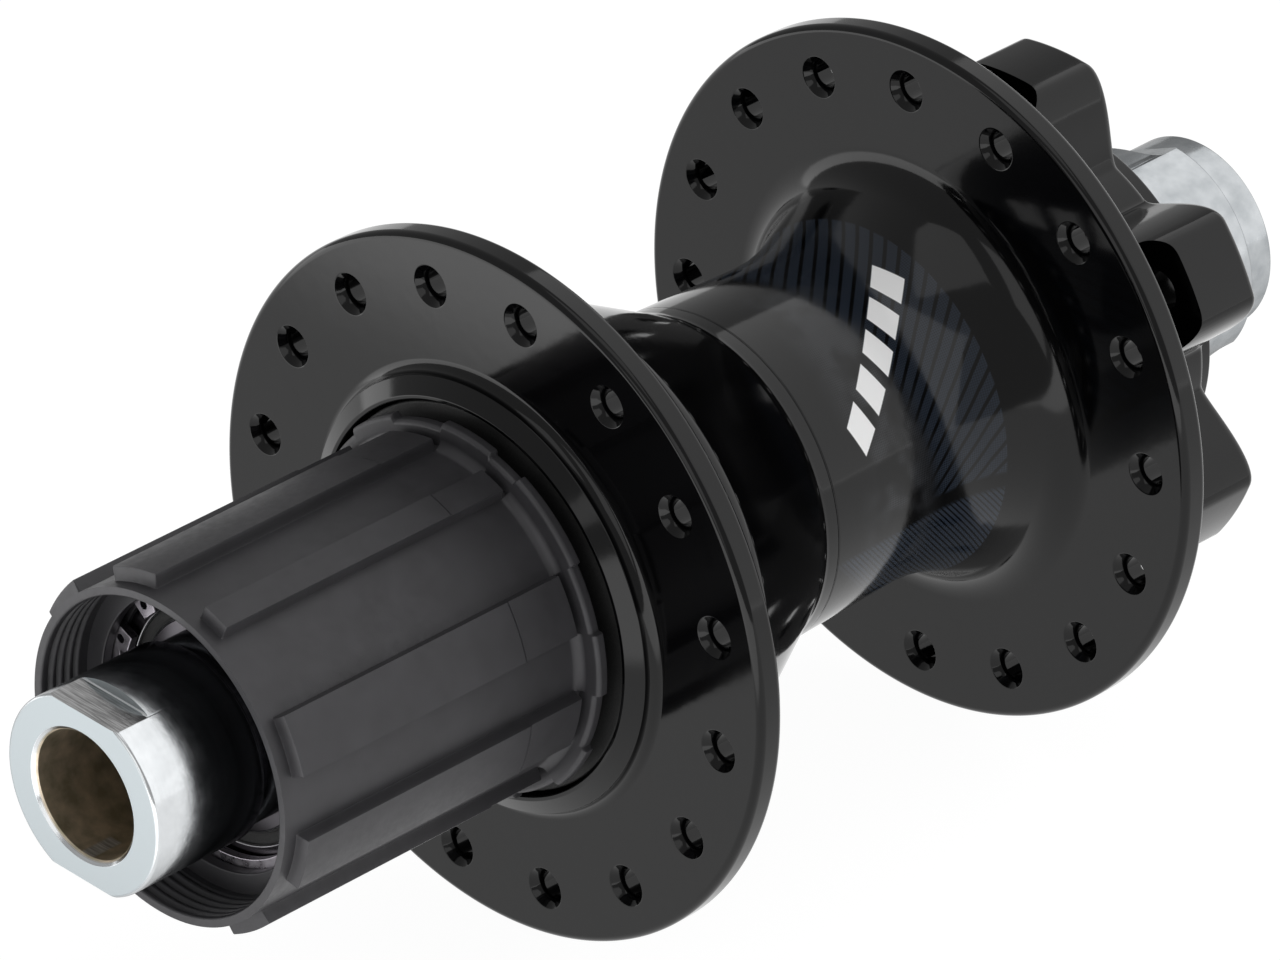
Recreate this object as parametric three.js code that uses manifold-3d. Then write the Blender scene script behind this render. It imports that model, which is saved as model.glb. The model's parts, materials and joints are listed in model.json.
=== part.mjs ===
import * as THREE from 'three';
import { mergeVertices } from 'three/addons/utils/BufferGeometryUtils.js';
import Module from 'manifold-3d';

const wasm = await Module();
wasm.setup();

// Bicycle rear hub for a 12 x 142 mm thru-axle frame: 32 holes, six-bolt disc, splined freehub.
// Millimetres. +X is the drive side, +Y is forward and +Z is up. The origin is on the axle line,
// midway between the two dropout faces. Angles go round X, from +Y (0) towards +Z (90).

// Fit in the frame
const OVER_LOCKNUT = 142;
const DROPOUT_FACE = OVER_LOCKNUT / 2;
const CAP_RADIUS = 9.5;
const THRU_AXLE_BORE = 6.1;
const CAP_CHAMFER = 0.4;

// Spoke flanges
const FLANGE_RADIUS = 33.9;
const FLANGE_THICKNESS = 2.8;
const RIM_CHAMFER = 0.6;
const DRIVE_FLANGE_FACE = 22.05;
const DISC_FLANGE_FACE = -32.5;
const SPOKE_CIRCLE = 29;
const HOLES_PER_FLANGE = 16;
const SPOKE_HOLE_RADIUS = 1.3;
const COUNTERSINK_RADIUS = 1.95;
const DRIVE_HOLE_ANGLE = 14;
const DISC_HOLE_ANGLE = 25.2;

// Shell body
const BARREL = { x: [-19.5, -5.3], r: [15.92, 16.46] };
const DISC_FLARE = { radius: 19.5, slope: 25, fillet: 4, faceRadius: 22.5 };
const DRIVE_FLARE = { radius: 8, slope: 28 };
const RATCHET_HOUSING = { r: 24.5, shoulder: 3 };
const FLANGE_FILLET = 2;
const EDGE = 0.3;
const COLLAR_END = 24.2;
const COLLAR_BORE = 18.9;
const COLLAR_LIP = 0.4;
const COLLAR_STEP = 2;
const COLLAR_FILLET = 1.1;
const HOUSING_FLOOR = 12.6;
const SHELL_BORE = 13.2;
const SHELL_SEAT = 15.05;
const DRIVE_SEAT_STEP = 4.3;
const DISC_SEAT_STEP = -45.3;
const SEAL_SEAT_DEPTH = 1.15;

// Six-bolt disc mount: 44 mm bolt circle
const ROTOR_FACE = -52.2;
const LOBE_BACK = -44.9;
const LOBE_TIP = 26.5;
const LOBE_VALLEY = 18.4;
const LOBE_ANGLE = 31;
const LOBE_FLAT_HALF_ANGLE = 8;
const LOBE_FOOT_HALF_ANGLE = 24;
const ROTOR_BOLTS = 6;
const ROTOR_BOLT_CIRCLE = 22;
const ROTOR_THREAD_RADIUS = 2.1;
const PILOT_RADIUS = 17.2;
const PILOT_END = -54.2;
const NECK_RADIUS = 17;
const PILOT_UNDERCUT = 0.5;
const POCKET_FLOOR = 16.6;
const POCKET_HALF_WIDTH = 5.2;
const POCKET_END = -36.2;
const POCKET_CORNER = 2.5;

// Freehub: nine splines, one of them narrow so that sprockets fit one way round
const MOUTH = 62;
const MOUTH_BORE = 15;
const MOUTH_STEP = 56.6;
const SPLINE_ROOT = 15.9;
const SPLINE_TOP = 17.2;
const SPLINE_START = 27.1;
const SPLINE_END = 60.5;
const SPLINES = 9;
const SPLINE_PITCH = 360 / SPLINES;
const SPLINE_ANGLE = 15;
const SPLINE_WIDTH = 19.5;
const KEY_SPLINE = 1;
const KEY_SPLINE_CUT = 9.5;
const TAB_INSET = 0.5;
const JOIN_DEPTH = 0.6;
const STOP_RING_RADIUS = 18.3;
const STOP_RING_BACK = 25.2;
const STOP_FACE = 26.4;
const STOP_RING_WAIST = 17.8;
const FREEHUB_SEAT = 13.05;
const NOSE_RADIUS = 15.2;
const NOSE_BORE = 10.9;
const NOSE_END = 13.2;
const CIRCLIP = { x: [54.55, 55.45], inner: 12.2, outer: 13.6, ear: 11.4, earWidth: 10 };
const CIRCLIP_GAP = { angle: 147, half: 8 };

// Ratchet
const TEETH = 24;
const TOOTH_PITCH = 360 / TEETH;
const TOOTH_TIP = 15.7;
const TOOTH_ROOT = 17;
const TOOTH_LAND = 1.2;
const RATCHET_OUTER = 18.6;
const RATCHET_X = [13, 20.5];
const PAWLS = 4;
const PAWL_X = [14.3, 20.1];
const PAWL_SIDE_GAP = 0.3;
const SPRING_INSET = 0.8;
const PAWL_PIVOT = 13.2;
const PAWL_PIVOT_RADIUS = 1.4;
const PAWL_TO_TOOTH_FACE = 23.8;

// Axle and bearings
const AXLE_BORE = 6.2;
const AXLE_SEAT = 8.4;
const AXLE_SHOULDER = 10;
const AXLE_JOURNAL = 7.4;
const AXLE_ENDS = [-58, 60];
const RACE_BORE = 8.5;
const SHELL_BEARING = { width: 7, outer: 15, ball: 1.75, balls: 9 };
const FREEHUB_BEARING = { width: 5, outer: 13, ball: 1.2, balls: 10 };
const DRIVE_BEARING_X = 4.5;
const DISC_BEARING_X = -52.5;
const INBOARD_BEARING_X = 22.1;
const OUTBOARD_BEARING_X = 49.3;
const FIT_GAP = 0.1;
const RUNNING_GAP = 0.2;
const RACE_GAP = 0.02;
const RACE_LIP = 1.25;
const TRACK_DEPTH = 1.35;
const SHIELD_THICKNESS = 0.4;

const COARSE = 24;
const FINE = 40;
const SPLINE_STEPS = 36;

const BLACK = { color: 0x0c0c0d, roughness: 0.2, metalness: 0.4 };
const DARK_GREY = { color: 0x3b3b3f, roughness: 0.45, metalness: 0.6 };
const SILVER = { color: 0xc9cccf, roughness: 0.25, metalness: 1 };
const STEEL = { color: 0x9a9ca0, roughness: 0.3, metalness: 1 };
const SPRING_STEEL = { color: 0x5c5e62, roughness: 0.35, metalness: 1 };
const RUBBER = { color: 0x101010, roughness: 0.8, metalness: 0 };

const radians = THREE.MathUtils.degToRad;

function finish(values) {
  return new THREE.MeshStandardMaterial(values);
}

function piece(name, geometry, values) {
  const mesh = new THREE.Mesh(geometry, finish(values));
  mesh.name = name;
  return mesh;
}

// ---- solids and surfaces ----

function solid(geometry) {
  const bare = new THREE.BufferGeometry();
  bare.setAttribute('position', geometry.getAttribute('position'));
  bare.setIndex(geometry.getIndex());
  const merged = mergeVertices(bare, 1e-4);
  const corners = merged.getIndex().array;
  const kept = [];
  for (let i = 0; i < corners.length; i += 3) {
    const [a, b, c] = [corners[i], corners[i + 1], corners[i + 2]];
    if (a !== b && b !== c && c !== a) kept.push(a, b, c);
  }
  return new wasm.Manifold(new wasm.Mesh({
    numProp: 3,
    vertProperties: new Float32Array(merged.getAttribute('position').array),
    triVerts: new Uint32Array(kept),
  }));
}

function surface(shape) {
  const mesh = shape.getMesh();
  const geometry = new THREE.BufferGeometry();
  geometry.setAttribute('position', new THREE.BufferAttribute(mesh.vertProperties, 3));
  geometry.setIndex(new THREE.BufferAttribute(mesh.triVerts, 1));
  geometry.computeVertexNormals();
  return geometry;
}

// A closed outline of [x, radius] points, turned about the X axis.
function turned(outline, segments = COARSE) {
  const points = outline.map(([x, r]) => new THREE.Vector2(r, x));
  points.push(points[0].clone());
  if (THREE.ShapeUtils.area(points) < 0) points.reverse();
  const geometry = new THREE.LatheGeometry(points, segments);
  geometry.rotateZ(-Math.PI / 2);
  return geometry;
}

// A plain ring between two faces and two radii.
function ring(x0, x1, inner, outer) {
  return turned([[x0, inner], [x1, inner], [x1, outer], [x0, outer]]);
}

// An outline drawn in the (Y, Z) plane and pushed along X.
function extruded(points, x0, x1, hole = null) {
  const shape = new THREE.Shape(points);
  if (hole) shape.holes.push(new THREE.Path(hole));
  const geometry = new THREE.ExtrudeGeometry(shape, { depth: x1 - x0, bevelEnabled: false });
  geometry.translate(0, 0, x0);
  const yzx = new THREE.Matrix4().makeBasis(
    new THREE.Vector3(0, 1, 0),
    new THREE.Vector3(0, 0, 1),
    new THREE.Vector3(1, 0, 0),
  );
  return geometry.applyMatrix4(yzx);
}

function polar(radius, degrees) {
  const angle = radians(degrees);
  return new THREE.Vector2(radius * Math.cos(angle), radius * Math.sin(angle));
}

function circle(radius, count, start = 0) {
  return Array.from({ length: count }, (_, i) => polar(radius, start + (i * 360) / count));
}

// Points of an arc in the [x, radius] plane.
function arc(x, r, radius, from, to, steps) {
  return Array.from({ length: steps + 1 }, (_, i) => {
    const p = polar(radius, from + ((to - from) * i) / steps);
    return [x + p.x, r + p.y];
  });
}

// Evenly spaced points from one angle to another.
function sweep(radius, from, to, steps) {
  return Array.from({ length: steps + 1 }, (_, i) => polar(radius, from + ((to - from) * i) / steps));
}

// A block between two radii and two angles.
function sector(inner, outer, from, to, x0, x1) {
  const degreesPerStep = 7;
  const steps = Math.max(2, Math.round((to - from) / degreesPerStep));
  return extruded([...sweep(outer, from, to, steps), polar(inner, to), polar(inner, from)], x0, x1);
}

// ---- shell ----

function flangeRim(back, face) {
  return [
    [back, FLANGE_RADIUS - RIM_CHAMFER],
    [back + RIM_CHAMFER, FLANGE_RADIUS],
    [face - RIM_CHAMFER, FLANGE_RADIUS],
    [face, FLANGE_RADIUS - RIM_CHAMFER],
  ];
}

// The barrel's outside: a fillet at the disc flange, a long flare, the near-straight middle, and the
// flare that grows into the ratchet housing.
function barrelOutline() {
  const { radius: discRadius, slope: discSlope, fillet, faceRadius } = DISC_FLARE;
  const { radius: driveRadius, slope: driveSlope } = DRIVE_FLARE;
  const { r: housing, shoulder } = RATCHET_HOUSING;
  const [discX, driveX] = BARREL.x;
  const [discR, driveR] = BARREL.r;
  const flare = arc(driveX, driveR + driveRadius, driveRadius, 270, 270 + driveSlope, 4);
  const [flareX, flareR] = flare[flare.length - 1];
  const shoulderRise = shoulder * (1 - Math.cos(radians(driveSlope)));
  const rise = housing - shoulderRise - flareR;
  const shoulderX = flareX + rise / Math.tan(radians(driveSlope)) + shoulder * Math.sin(radians(driveSlope));
  return [
    ...arc(DISC_FLANGE_FACE + fillet, faceRadius, fillet, 180, 270 - discSlope, 3),
    ...arc(discX, discR + discRadius, discRadius, 270 - discSlope, 270, 3),
    ...flare,
    ...arc(shoulderX, housing - shoulder, shoulder, 90 + driveSlope, 90, 2),
  ];
}

function shellOutline() {
  const discBack = DISC_FLANGE_FACE - FLANGE_THICKNESS;
  const driveBack = DRIVE_FLANGE_FACE - FLANGE_THICKNESS;
  const fillet = FLANGE_FILLET;
  const collar = COLLAR_FILLET;
  return [
    [PILOT_END, SHELL_SEAT],
    [PILOT_END, PILOT_RADIUS - EDGE],
    [PILOT_END + EDGE, PILOT_RADIUS],
    [ROTOR_FACE + PILOT_UNDERCUT, PILOT_RADIUS],
    [ROTOR_FACE + PILOT_UNDERCUT, NECK_RADIUS],
    ...arc(discBack - fillet, NECK_RADIUS + fillet, fillet, -90, 0, 2),
    ...flangeRim(discBack, DISC_FLANGE_FACE),
    ...barrelOutline(),
    ...arc(driveBack - fillet, RATCHET_HOUSING.r + fillet, fillet, 270, 360, 2),
    ...flangeRim(driveBack, DRIVE_FLANGE_FACE),
    ...arc(DRIVE_FLANGE_FACE + collar, COLLAR_BORE + COLLAR_STEP + collar, collar, 180, 270, 2),
    [COLLAR_END, COLLAR_BORE + COLLAR_LIP],
    [COLLAR_END, COLLAR_BORE],
    [HOUSING_FLOOR, COLLAR_BORE],
    [HOUSING_FLOOR, SHELL_SEAT],
    [DRIVE_SEAT_STEP, SHELL_SEAT],
    [DRIVE_SEAT_STEP, SHELL_BORE],
    [DISC_SEAT_STEP, SHELL_BORE],
    [DISC_SEAT_STEP, SHELL_SEAT],
  ];
}

// Radius of the disc mount's edge: flat-topped lobes with smooth hollows between them.
function lobeRadius(degrees) {
  const pitch = 360 / ROTOR_BOLTS;
  const off = Math.abs(((degrees - LOBE_ANGLE + pitch / 2 + 360) % pitch) - pitch / 2);
  const fall = (off - LOBE_FLAT_HALF_ANGLE) / (LOBE_FOOT_HALF_ANGLE - LOBE_FLAT_HALF_ANGLE);
  return THREE.MathUtils.lerp(LOBE_TIP, LOBE_VALLEY, THREE.MathUtils.smoothstep(fall, 0, 1));
}

function discMount() {
  const count = ROTOR_BOLTS * 12;
  const edge = Array.from({ length: count }, (_, i) => {
    const angle = LOBE_ANGLE + (i * 360) / count;
    return polar(lobeRadius(angle), angle);
  });
  const inFlange = DISC_FLANGE_FACE - FLANGE_THICKNESS / 2;
  return extruded(edge, ROTOR_FACE, inFlange, circle((NECK_RADIUS + SHELL_SEAT) / 2, COARSE));
}

// The space behind one lobe, cut in from outside, with rounded corners.
function lobePocket(degrees) {
  const corner = POCKET_CORNER;
  const outline = [];
  const middleX = (LOBE_BACK + POCKET_END) / 2;
  const halfLength = (POCKET_END - LOBE_BACK) / 2;
  for (const [sx, sy, start] of [[1, 1, 0], [-1, 1, 90], [-1, -1, 180], [1, -1, 270]]) {
    for (const step of [0, 45, 90]) {
      const p = polar(corner, start + step);
      outline.push(new THREE.Vector2(
        middleX + sx * (halfLength - corner) + p.x,
        sy * (POCKET_HALF_WIDTH - corner) + p.y,
      ));
    }
  }
  const depth = FLANGE_RADIUS - POCKET_FLOOR;
  const geometry = new THREE.ExtrudeGeometry(new THREE.Shape(outline), { depth, bevelEnabled: false });
  geometry.translate(0, 0, POCKET_FLOOR);
  geometry.rotateX(radians(degrees - 90));
  return geometry;
}

// A through hole at an angle on the spoke circle, countersunk at the face.
function spokeHole(back, face, degrees) {
  const sink = COUNTERSINK_RADIUS - SPOKE_HOLE_RADIUS;
  const past = 0.5;
  const geometry = turned([
    [back - past, 0],
    [back - past, SPOKE_HOLE_RADIUS],
    [face - sink, SPOKE_HOLE_RADIUS],
    [face + past, COUNTERSINK_RADIUS + past],
    [face + past, 0],
  ], 6);
  const place = polar(SPOKE_CIRCLE, degrees);
  return geometry.translate(0, place.x, place.y);
}

function hubShell() {
  let shell = solid(turned(shellOutline(), FINE)).add(solid(discMount()));
  for (let i = 0; i < ROTOR_BOLTS; i += 1) {
    const angle = LOBE_ANGLE + (i * 360) / ROTOR_BOLTS;
    const place = polar(ROTOR_BOLT_CIRCLE, angle);
    const bolt = extruded(circle(ROTOR_THREAD_RADIUS, 8), ROTOR_FACE - 1, LOBE_BACK + 1);
    shell = shell.subtract(solid(lobePocket(angle)));
    shell = shell.subtract(solid(bolt.translate(0, place.x, place.y)));
  }
  const flanges = [
    [DRIVE_FLANGE_FACE, DRIVE_HOLE_ANGLE],
    [DISC_FLANGE_FACE, DISC_HOLE_ANGLE],
  ];
  for (const [face, start] of flanges) {
    for (let i = 0; i < HOLES_PER_FLANGE; i += 1) {
      const angle = start + (i * 360) / HOLES_PER_FLANGE;
      shell = shell.subtract(solid(spokeHole(face - FLANGE_THICKNESS, face, angle)));
    }
  }
  return surface(shell);
}

// ---- ratchet ----

// The ring's inner edge: each tooth has a radial driving face and a ramp the other way.
function ratchetRing() {
  const teeth = [];
  for (let i = 0; i < TEETH; i += 1) {
    const face = 90 - PAWL_TO_TOOTH_FACE + i * TOOTH_PITCH;
    teeth.push(polar(TOOTH_ROOT, face));
    teeth.push(polar(TOOTH_TIP, face + TOOTH_PITCH - TOOTH_LAND));
    teeth.push(polar(TOOTH_TIP, face + TOOTH_PITCH));
  }
  return extruded(circle(RATCHET_OUTER, COARSE, 90), RATCHET_X[0], RATCHET_X[1], teeth);
}

// Outlines drawn for a pawl whose pivot is at the top; its tip points forward.
function pawlPocketOutline() {
  const socket = PAWL_PIVOT_RADIUS + RUNNING_GAP;
  const round = [180, 210, 240, 270, 300].map((a) => polar(socket, a));
  return [
    new THREE.Vector2(7.6, NOSE_RADIUS + 1),
    new THREE.Vector2(-socket, NOSE_RADIUS + 1),
    ...round.map((p) => new THREE.Vector2(p.x, PAWL_PIVOT + p.y)),
    new THREE.Vector2(3, 11.2),
    new THREE.Vector2(6.8, 10.8),
    new THREE.Vector2(7.6, 11.4),
  ];
}

function pawlOutline() {
  const heel = [100, 130, 160, 190, 220, 250, 280, 310].map((a) => polar(PAWL_PIVOT_RADIUS, a));
  return [
    new THREE.Vector2(3, 14.45),
    ...heel.map((p) => new THREE.Vector2(p.x, PAWL_PIVOT + p.y)),
    new THREE.Vector2(2, 12.35),
    new THREE.Vector2(5.6, 12.5),
    new THREE.Vector2(6, 12.8),
    new THREE.Vector2(6.1, 13.6),
  ];
}

// A folded leaf: one leg on the pocket floor, the other under the pawl.
function springOutline() {
  return [
    new THREE.Vector2(1.9, 11.8),
    new THREE.Vector2(2.1, 11.52),
    new THREE.Vector2(3, 11.33),
    new THREE.Vector2(6.2, 11.05),
    new THREE.Vector2(6.2, 11.33),
    new THREE.Vector2(2.8, 11.7),
    new THREE.Vector2(5.4, 11.98),
    new THREE.Vector2(5.4, 12.24),
  ];
}

function pawlSpring() {
  return extruded(springOutline(), PAWL_X[0] + SPRING_INSET, PAWL_X[1] - SPRING_INSET);
}

function pawlAngles() {
  return Array.from({ length: PAWLS }, (_, i) => 90 + (i * 360) / PAWLS);
}

// ---- freehub ----

function freehubOutline() {
  const groove = [CIRCLIP.x[0] - FIT_GAP, CIRCLIP.x[1] + FIT_GAP];
  const grooveRadius = CIRCLIP.outer + FIT_GAP;
  return [
    [NOSE_END, NOSE_BORE],
    [NOSE_END, NOSE_RADIUS - EDGE],
    [NOSE_END + EDGE, NOSE_RADIUS],
    [STOP_RING_BACK, NOSE_RADIUS],
    [STOP_RING_BACK, STOP_RING_WAIST],
    [STOP_FACE, STOP_RING_WAIST],
    [STOP_FACE, SPLINE_ROOT],
    [MOUTH - EDGE, SPLINE_ROOT],
    [MOUTH, SPLINE_ROOT - EDGE],
    [MOUTH, MOUTH_BORE],
    [MOUTH_STEP, MOUTH_BORE],
    [MOUTH_STEP, FREEHUB_SEAT],
    [groove[1], FREEHUB_SEAT],
    [groove[1], grooveRadius],
    [groove[0], grooveRadius],
    [groove[0], FREEHUB_SEAT],
    [INBOARD_BEARING_X - FIT_GAP, FREEHUB_SEAT],
    [INBOARD_BEARING_X - FIT_GAP, NOSE_BORE],
  ];
}

function freehubBody() {
  let body = solid(turned(freehubOutline(), SPLINE_STEPS));
  const splineStart = (i) => SPLINE_ANGLE + i * SPLINE_PITCH + (i === KEY_SPLINE ? KEY_SPLINE_CUT : 0);
  for (let i = 0; i < SPLINES; i += 1) {
    const end = SPLINE_ANGLE + i * SPLINE_PITCH + SPLINE_WIDTH;
    const spline = sector(
      SPLINE_ROOT - JOIN_DEPTH,
      SPLINE_TOP,
      splineStart(i),
      end,
      SPLINE_START,
      SPLINE_END,
    );
    const tab = sector(
      STOP_RING_WAIST - JOIN_DEPTH,
      STOP_RING_RADIUS,
      end + TAB_INSET,
      splineStart(i + 1) - TAB_INSET,
      STOP_RING_BACK,
      STOP_FACE,
    );
    body = body.add(solid(spline)).add(solid(tab));
  }
  for (const angle of pawlAngles()) {
    const pocket = extruded(pawlPocketOutline(), PAWL_X[0] - PAWL_SIDE_GAP, PAWL_X[1] + PAWL_SIDE_GAP);
    body = body.subtract(solid(pocket.rotateX(radians(angle - 90))));
  }
  return surface(body);
}

// A C-shaped snap ring with an ear at each end, open at the upper rear.
function circlip() {
  const { x, inner, outer, ear, earWidth } = CIRCLIP;
  const from = CIRCLIP_GAP.angle + CIRCLIP_GAP.half;
  const to = CIRCLIP_GAP.angle + 360 - CIRCLIP_GAP.half;
  const steps = 18;
  return extruded([
    ...sweep(outer, from, to, steps),
    polar(ear, to),
    polar(ear, to - earWidth),
    ...sweep(inner, to - earWidth, from + earWidth, steps),
    polar(ear, from + earWidth),
    polar(ear, from),
  ], x[0], x[1]);
}

// ---- bearings ----

function bearing(name, x, { width, outer, ball, balls }) {
  const pitch = (RACE_BORE + outer) / 2;
  const middle = x + width / 2;
  const lip = ball * RACE_LIP;
  const race = (bore, shoulder, bottom) => turned([
    [x, bore],
    [x, shoulder],
    [middle - lip, shoulder],
    [middle, bottom],
    [middle + lip, shoulder],
    [x + width, shoulder],
    [x + width, bore],
  ]);
  const innerShoulder = pitch - ball / 2;
  const outerShoulder = pitch + ball / 2;
  const track = ball * TRACK_DEPTH;
  let set = solid(ring(middle - ball / 2, middle + ball / 2, pitch - ball / 4, pitch + ball / 4));
  for (let i = 0; i < balls; i += 1) {
    const place = polar(pitch, (i * 360) / balls);
    const sphere = new THREE.SphereGeometry(ball, 6, 3).rotateZ(Math.PI / 2);
    set = set.add(solid(sphere.translate(middle, place.x, place.y)));
  }
  const face = x < 0 ? x + FIT_GAP : x + width - FIT_GAP - SHIELD_THICKNESS;
  const seal = ring(face, face + SHIELD_THICKNESS, innerShoulder + RUNNING_GAP, outerShoulder - FIT_GAP);
  return {
    innerRace: piece(`${name}_inner_race`, race(RACE_BORE + RACE_GAP, innerShoulder, pitch - track), STEEL),
    outerRace: piece(`${name}_outer_race`, race(outer, outerShoulder, pitch + track), STEEL),
    balls: piece(`${name}_balls`, surface(set), STEEL),
    seal: piece(`${name}_seal`, seal, RUBBER),
  };
}

// ---- axle and end caps ----

function axleTube() {
  const [disc, drive] = AXLE_ENDS;
  const discSeat = DISC_BEARING_X + FIT_GAP;
  const driveSeat = OUTBOARD_BEARING_X + FREEHUB_BEARING.width - FIT_GAP;
  return turned([
    [disc, AXLE_BORE],
    [disc, AXLE_JOURNAL - EDGE],
    [disc + EDGE, AXLE_JOURNAL],
    [discSeat, AXLE_JOURNAL],
    [discSeat, AXLE_SEAT],
    [DISC_SEAT_STEP - FIT_GAP, AXLE_SEAT],
    [DISC_SEAT_STEP - FIT_GAP, AXLE_SHOULDER],
    [DRIVE_SEAT_STEP + FIT_GAP, AXLE_SHOULDER],
    [DRIVE_SEAT_STEP + FIT_GAP, AXLE_SEAT],
    [driveSeat, AXLE_SEAT],
    [driveSeat, AXLE_JOURNAL],
    [drive - EDGE, AXLE_JOURNAL],
    [drive, AXLE_JOURNAL - EDGE],
    [drive, AXLE_BORE],
  ]);
}

const CAP_COUNTERBORE = AXLE_JOURNAL + FIT_GAP;
const SEAL_GROOVE = { depth: 0.8, width: 1.2 };

// Inner outline of a cap, from its inner end to its outer face; side is 1 for drive, -1 for disc.
function capBore(side, innerEnd, grooveStart, counterboreEnd) {
  const groove = CAP_COUNTERBORE + SEAL_GROOVE.depth;
  return [
    [innerEnd, CAP_COUNTERBORE],
    [grooveStart, CAP_COUNTERBORE],
    [grooveStart, groove],
    [grooveStart + side * SEAL_GROOVE.width, groove],
    [grooveStart + side * SEAL_GROOVE.width, CAP_COUNTERBORE],
    [counterboreEnd, CAP_COUNTERBORE],
    [counterboreEnd, THRU_AXLE_BORE],
    [side * (DROPOUT_FACE - CAP_CHAMFER), THRU_AXLE_BORE],
    [side * DROPOUT_FACE, THRU_AXLE_BORE + CAP_CHAMFER],
    [side * DROPOUT_FACE, CAP_RADIUS - CAP_CHAMFER],
    [side * (DROPOUT_FACE - CAP_CHAMFER), CAP_RADIUS],
  ];
}

// Two opposite flats cut on a cap for a spanner.
function withFlats(geometry, x0, x1, distance, degrees) {
  let cap = solid(geometry);
  for (const turn of [0, 180]) {
    const size = 3 * CAP_RADIUS;
    const block = new THREE.BoxGeometry(x1 - x0, size, size);
    block.translate((x0 + x1) / 2, 0, distance + size / 2);
    block.rotateX(radians(degrees - 90 + turn));
    cap = cap.subtract(solid(block));
  }
  return surface(cap);
}

const DRIVE_CAP = { inner: 54.4, neck: 8.9, body: 58.2, flatStart: 67.1, flat: 8.5, flatAngle: 88 };
const DISC_CAP = {
  inner: -52.6,
  neck: 9.8,
  neckEnd: -55,
  body: 11.2,
  shoulder: -66.6,
  flatEnd: -63.4,
  flat: 9.6,
  flatAngle: 114,
};
const O_RING_X = { drive: 56.3, disc: -54.4 };
const O_RING_SECTION = 0.36;

function driveEndCap() {
  const outline = [
    ...capBore(1, DRIVE_CAP.inner, O_RING_X.drive, AXLE_ENDS[1] + RUNNING_GAP),
    [DRIVE_CAP.body + CAP_CHAMFER, CAP_RADIUS],
    [DRIVE_CAP.body, CAP_RADIUS - CAP_CHAMFER],
    [DRIVE_CAP.body, DRIVE_CAP.neck],
    [DRIVE_CAP.inner, DRIVE_CAP.neck],
  ];
  const { flatStart, flat, flatAngle } = DRIVE_CAP;
  return withFlats(turned(outline), flatStart, DROPOUT_FACE + 1, flat, flatAngle);
}

function discEndCap() {
  const { inner, neck, neckEnd, body, shoulder, flatEnd, flat, flatAngle } = DISC_CAP;
  const outline = [
    ...capBore(-1, inner, O_RING_X.disc, AXLE_ENDS[0] - RUNNING_GAP),
    [shoulder, CAP_RADIUS],
    [shoulder, body - EDGE],
    [shoulder + EDGE, body],
    [neckEnd - EDGE, body],
    [neckEnd, body - EDGE],
    [neckEnd, neck],
    [inner, neck],
  ];
  return withFlats(turned(outline), shoulder - 1, flatEnd, flat, flatAngle);
}

// A rubber ring that seals and grips the cap on the axle.
function oRing(start, side) {
  const middle = start + side * (SEAL_GROOVE.width / 2);
  const radius = CAP_COUNTERBORE + SEAL_GROOVE.depth / 2;
  const points = circle(O_RING_SECTION, 4);
  return turned(points.map((p) => [middle + p.x, radius + p.y]));
}

// ---- seals and spacers ----

const INNER_SPACER_RADIUS = 9.9;
const OUTER_SPACER_BORE = 11.7;
const LIP_SEAL = { back: 20.9, foot: 22.6, lip: 23.6, inner: 16.4, tip: 15.6, outer: 18.6 };

function freehubSpacer(inner, outer) {
  const start = INBOARD_BEARING_X + FREEHUB_BEARING.width + FIT_GAP;
  return ring(start, OUTBOARD_BEARING_X - FIT_GAP, inner, outer);
}

function shellToFreehubSpacer() {
  const start = DRIVE_BEARING_X + SHELL_BEARING.width + FIT_GAP;
  return ring(start, INBOARD_BEARING_X - FIT_GAP, RACE_BORE, AXLE_SHOULDER);
}

function lipSeal() {
  const { back, foot, lip, inner, tip, outer } = LIP_SEAL;
  return turned([[back, inner], [back, outer], [lip, outer], [lip, tip], [foot, tip]]);
}

function dustSeal() {
  const start = PILOT_END + EDGE;
  return ring(start, start + SEAL_SEAT_DEPTH, DISC_CAP.neck + EDGE, SHELL_SEAT - FIT_GAP);
}

// ---- assembly ----

const driveBearing = bearing('shell_drive_bearing', DRIVE_BEARING_X, SHELL_BEARING);
const discBearing = bearing('shell_disc_bearing', DISC_BEARING_X, SHELL_BEARING);
const inboardBearing = bearing('freehub_inboard_bearing', INBOARD_BEARING_X, FREEHUB_BEARING);
const outboardBearing = bearing('freehub_outboard_bearing', OUTBOARD_BEARING_X, FREEHUB_BEARING);

const axle = new THREE.Group();
axle.add(
  piece('axle_tube', axleTube(), DARK_GREY),
  piece('drive_end_cap', driveEndCap(), SILVER),
  piece('disc_end_cap', discEndCap(), SILVER),
  piece('drive_cap_o_ring', oRing(O_RING_X.drive, 1), RUBBER),
  piece('disc_cap_o_ring', oRing(O_RING_X.disc, -1), RUBBER),
  piece('shell_to_freehub_spacer', shellToFreehubSpacer(), SILVER),
  piece('freehub_inner_spacer', freehubSpacer(RACE_BORE, INNER_SPACER_RADIUS), SILVER),
  driveBearing.innerRace,
  discBearing.innerRace,
  inboardBearing.innerRace,
  outboardBearing.innerRace,
);

const shell = new THREE.Group();
shell.add(
  piece('hub_shell', hubShell(), BLACK),
  piece('ratchet_ring', ratchetRing(), STEEL),
  piece('freehub_lip_seal', lipSeal(), RUBBER),
  piece('disc_side_dust_seal', dustSeal(), RUBBER),
  driveBearing.outerRace,
  driveBearing.seal,
  discBearing.outerRace,
  discBearing.seal,
);

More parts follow.
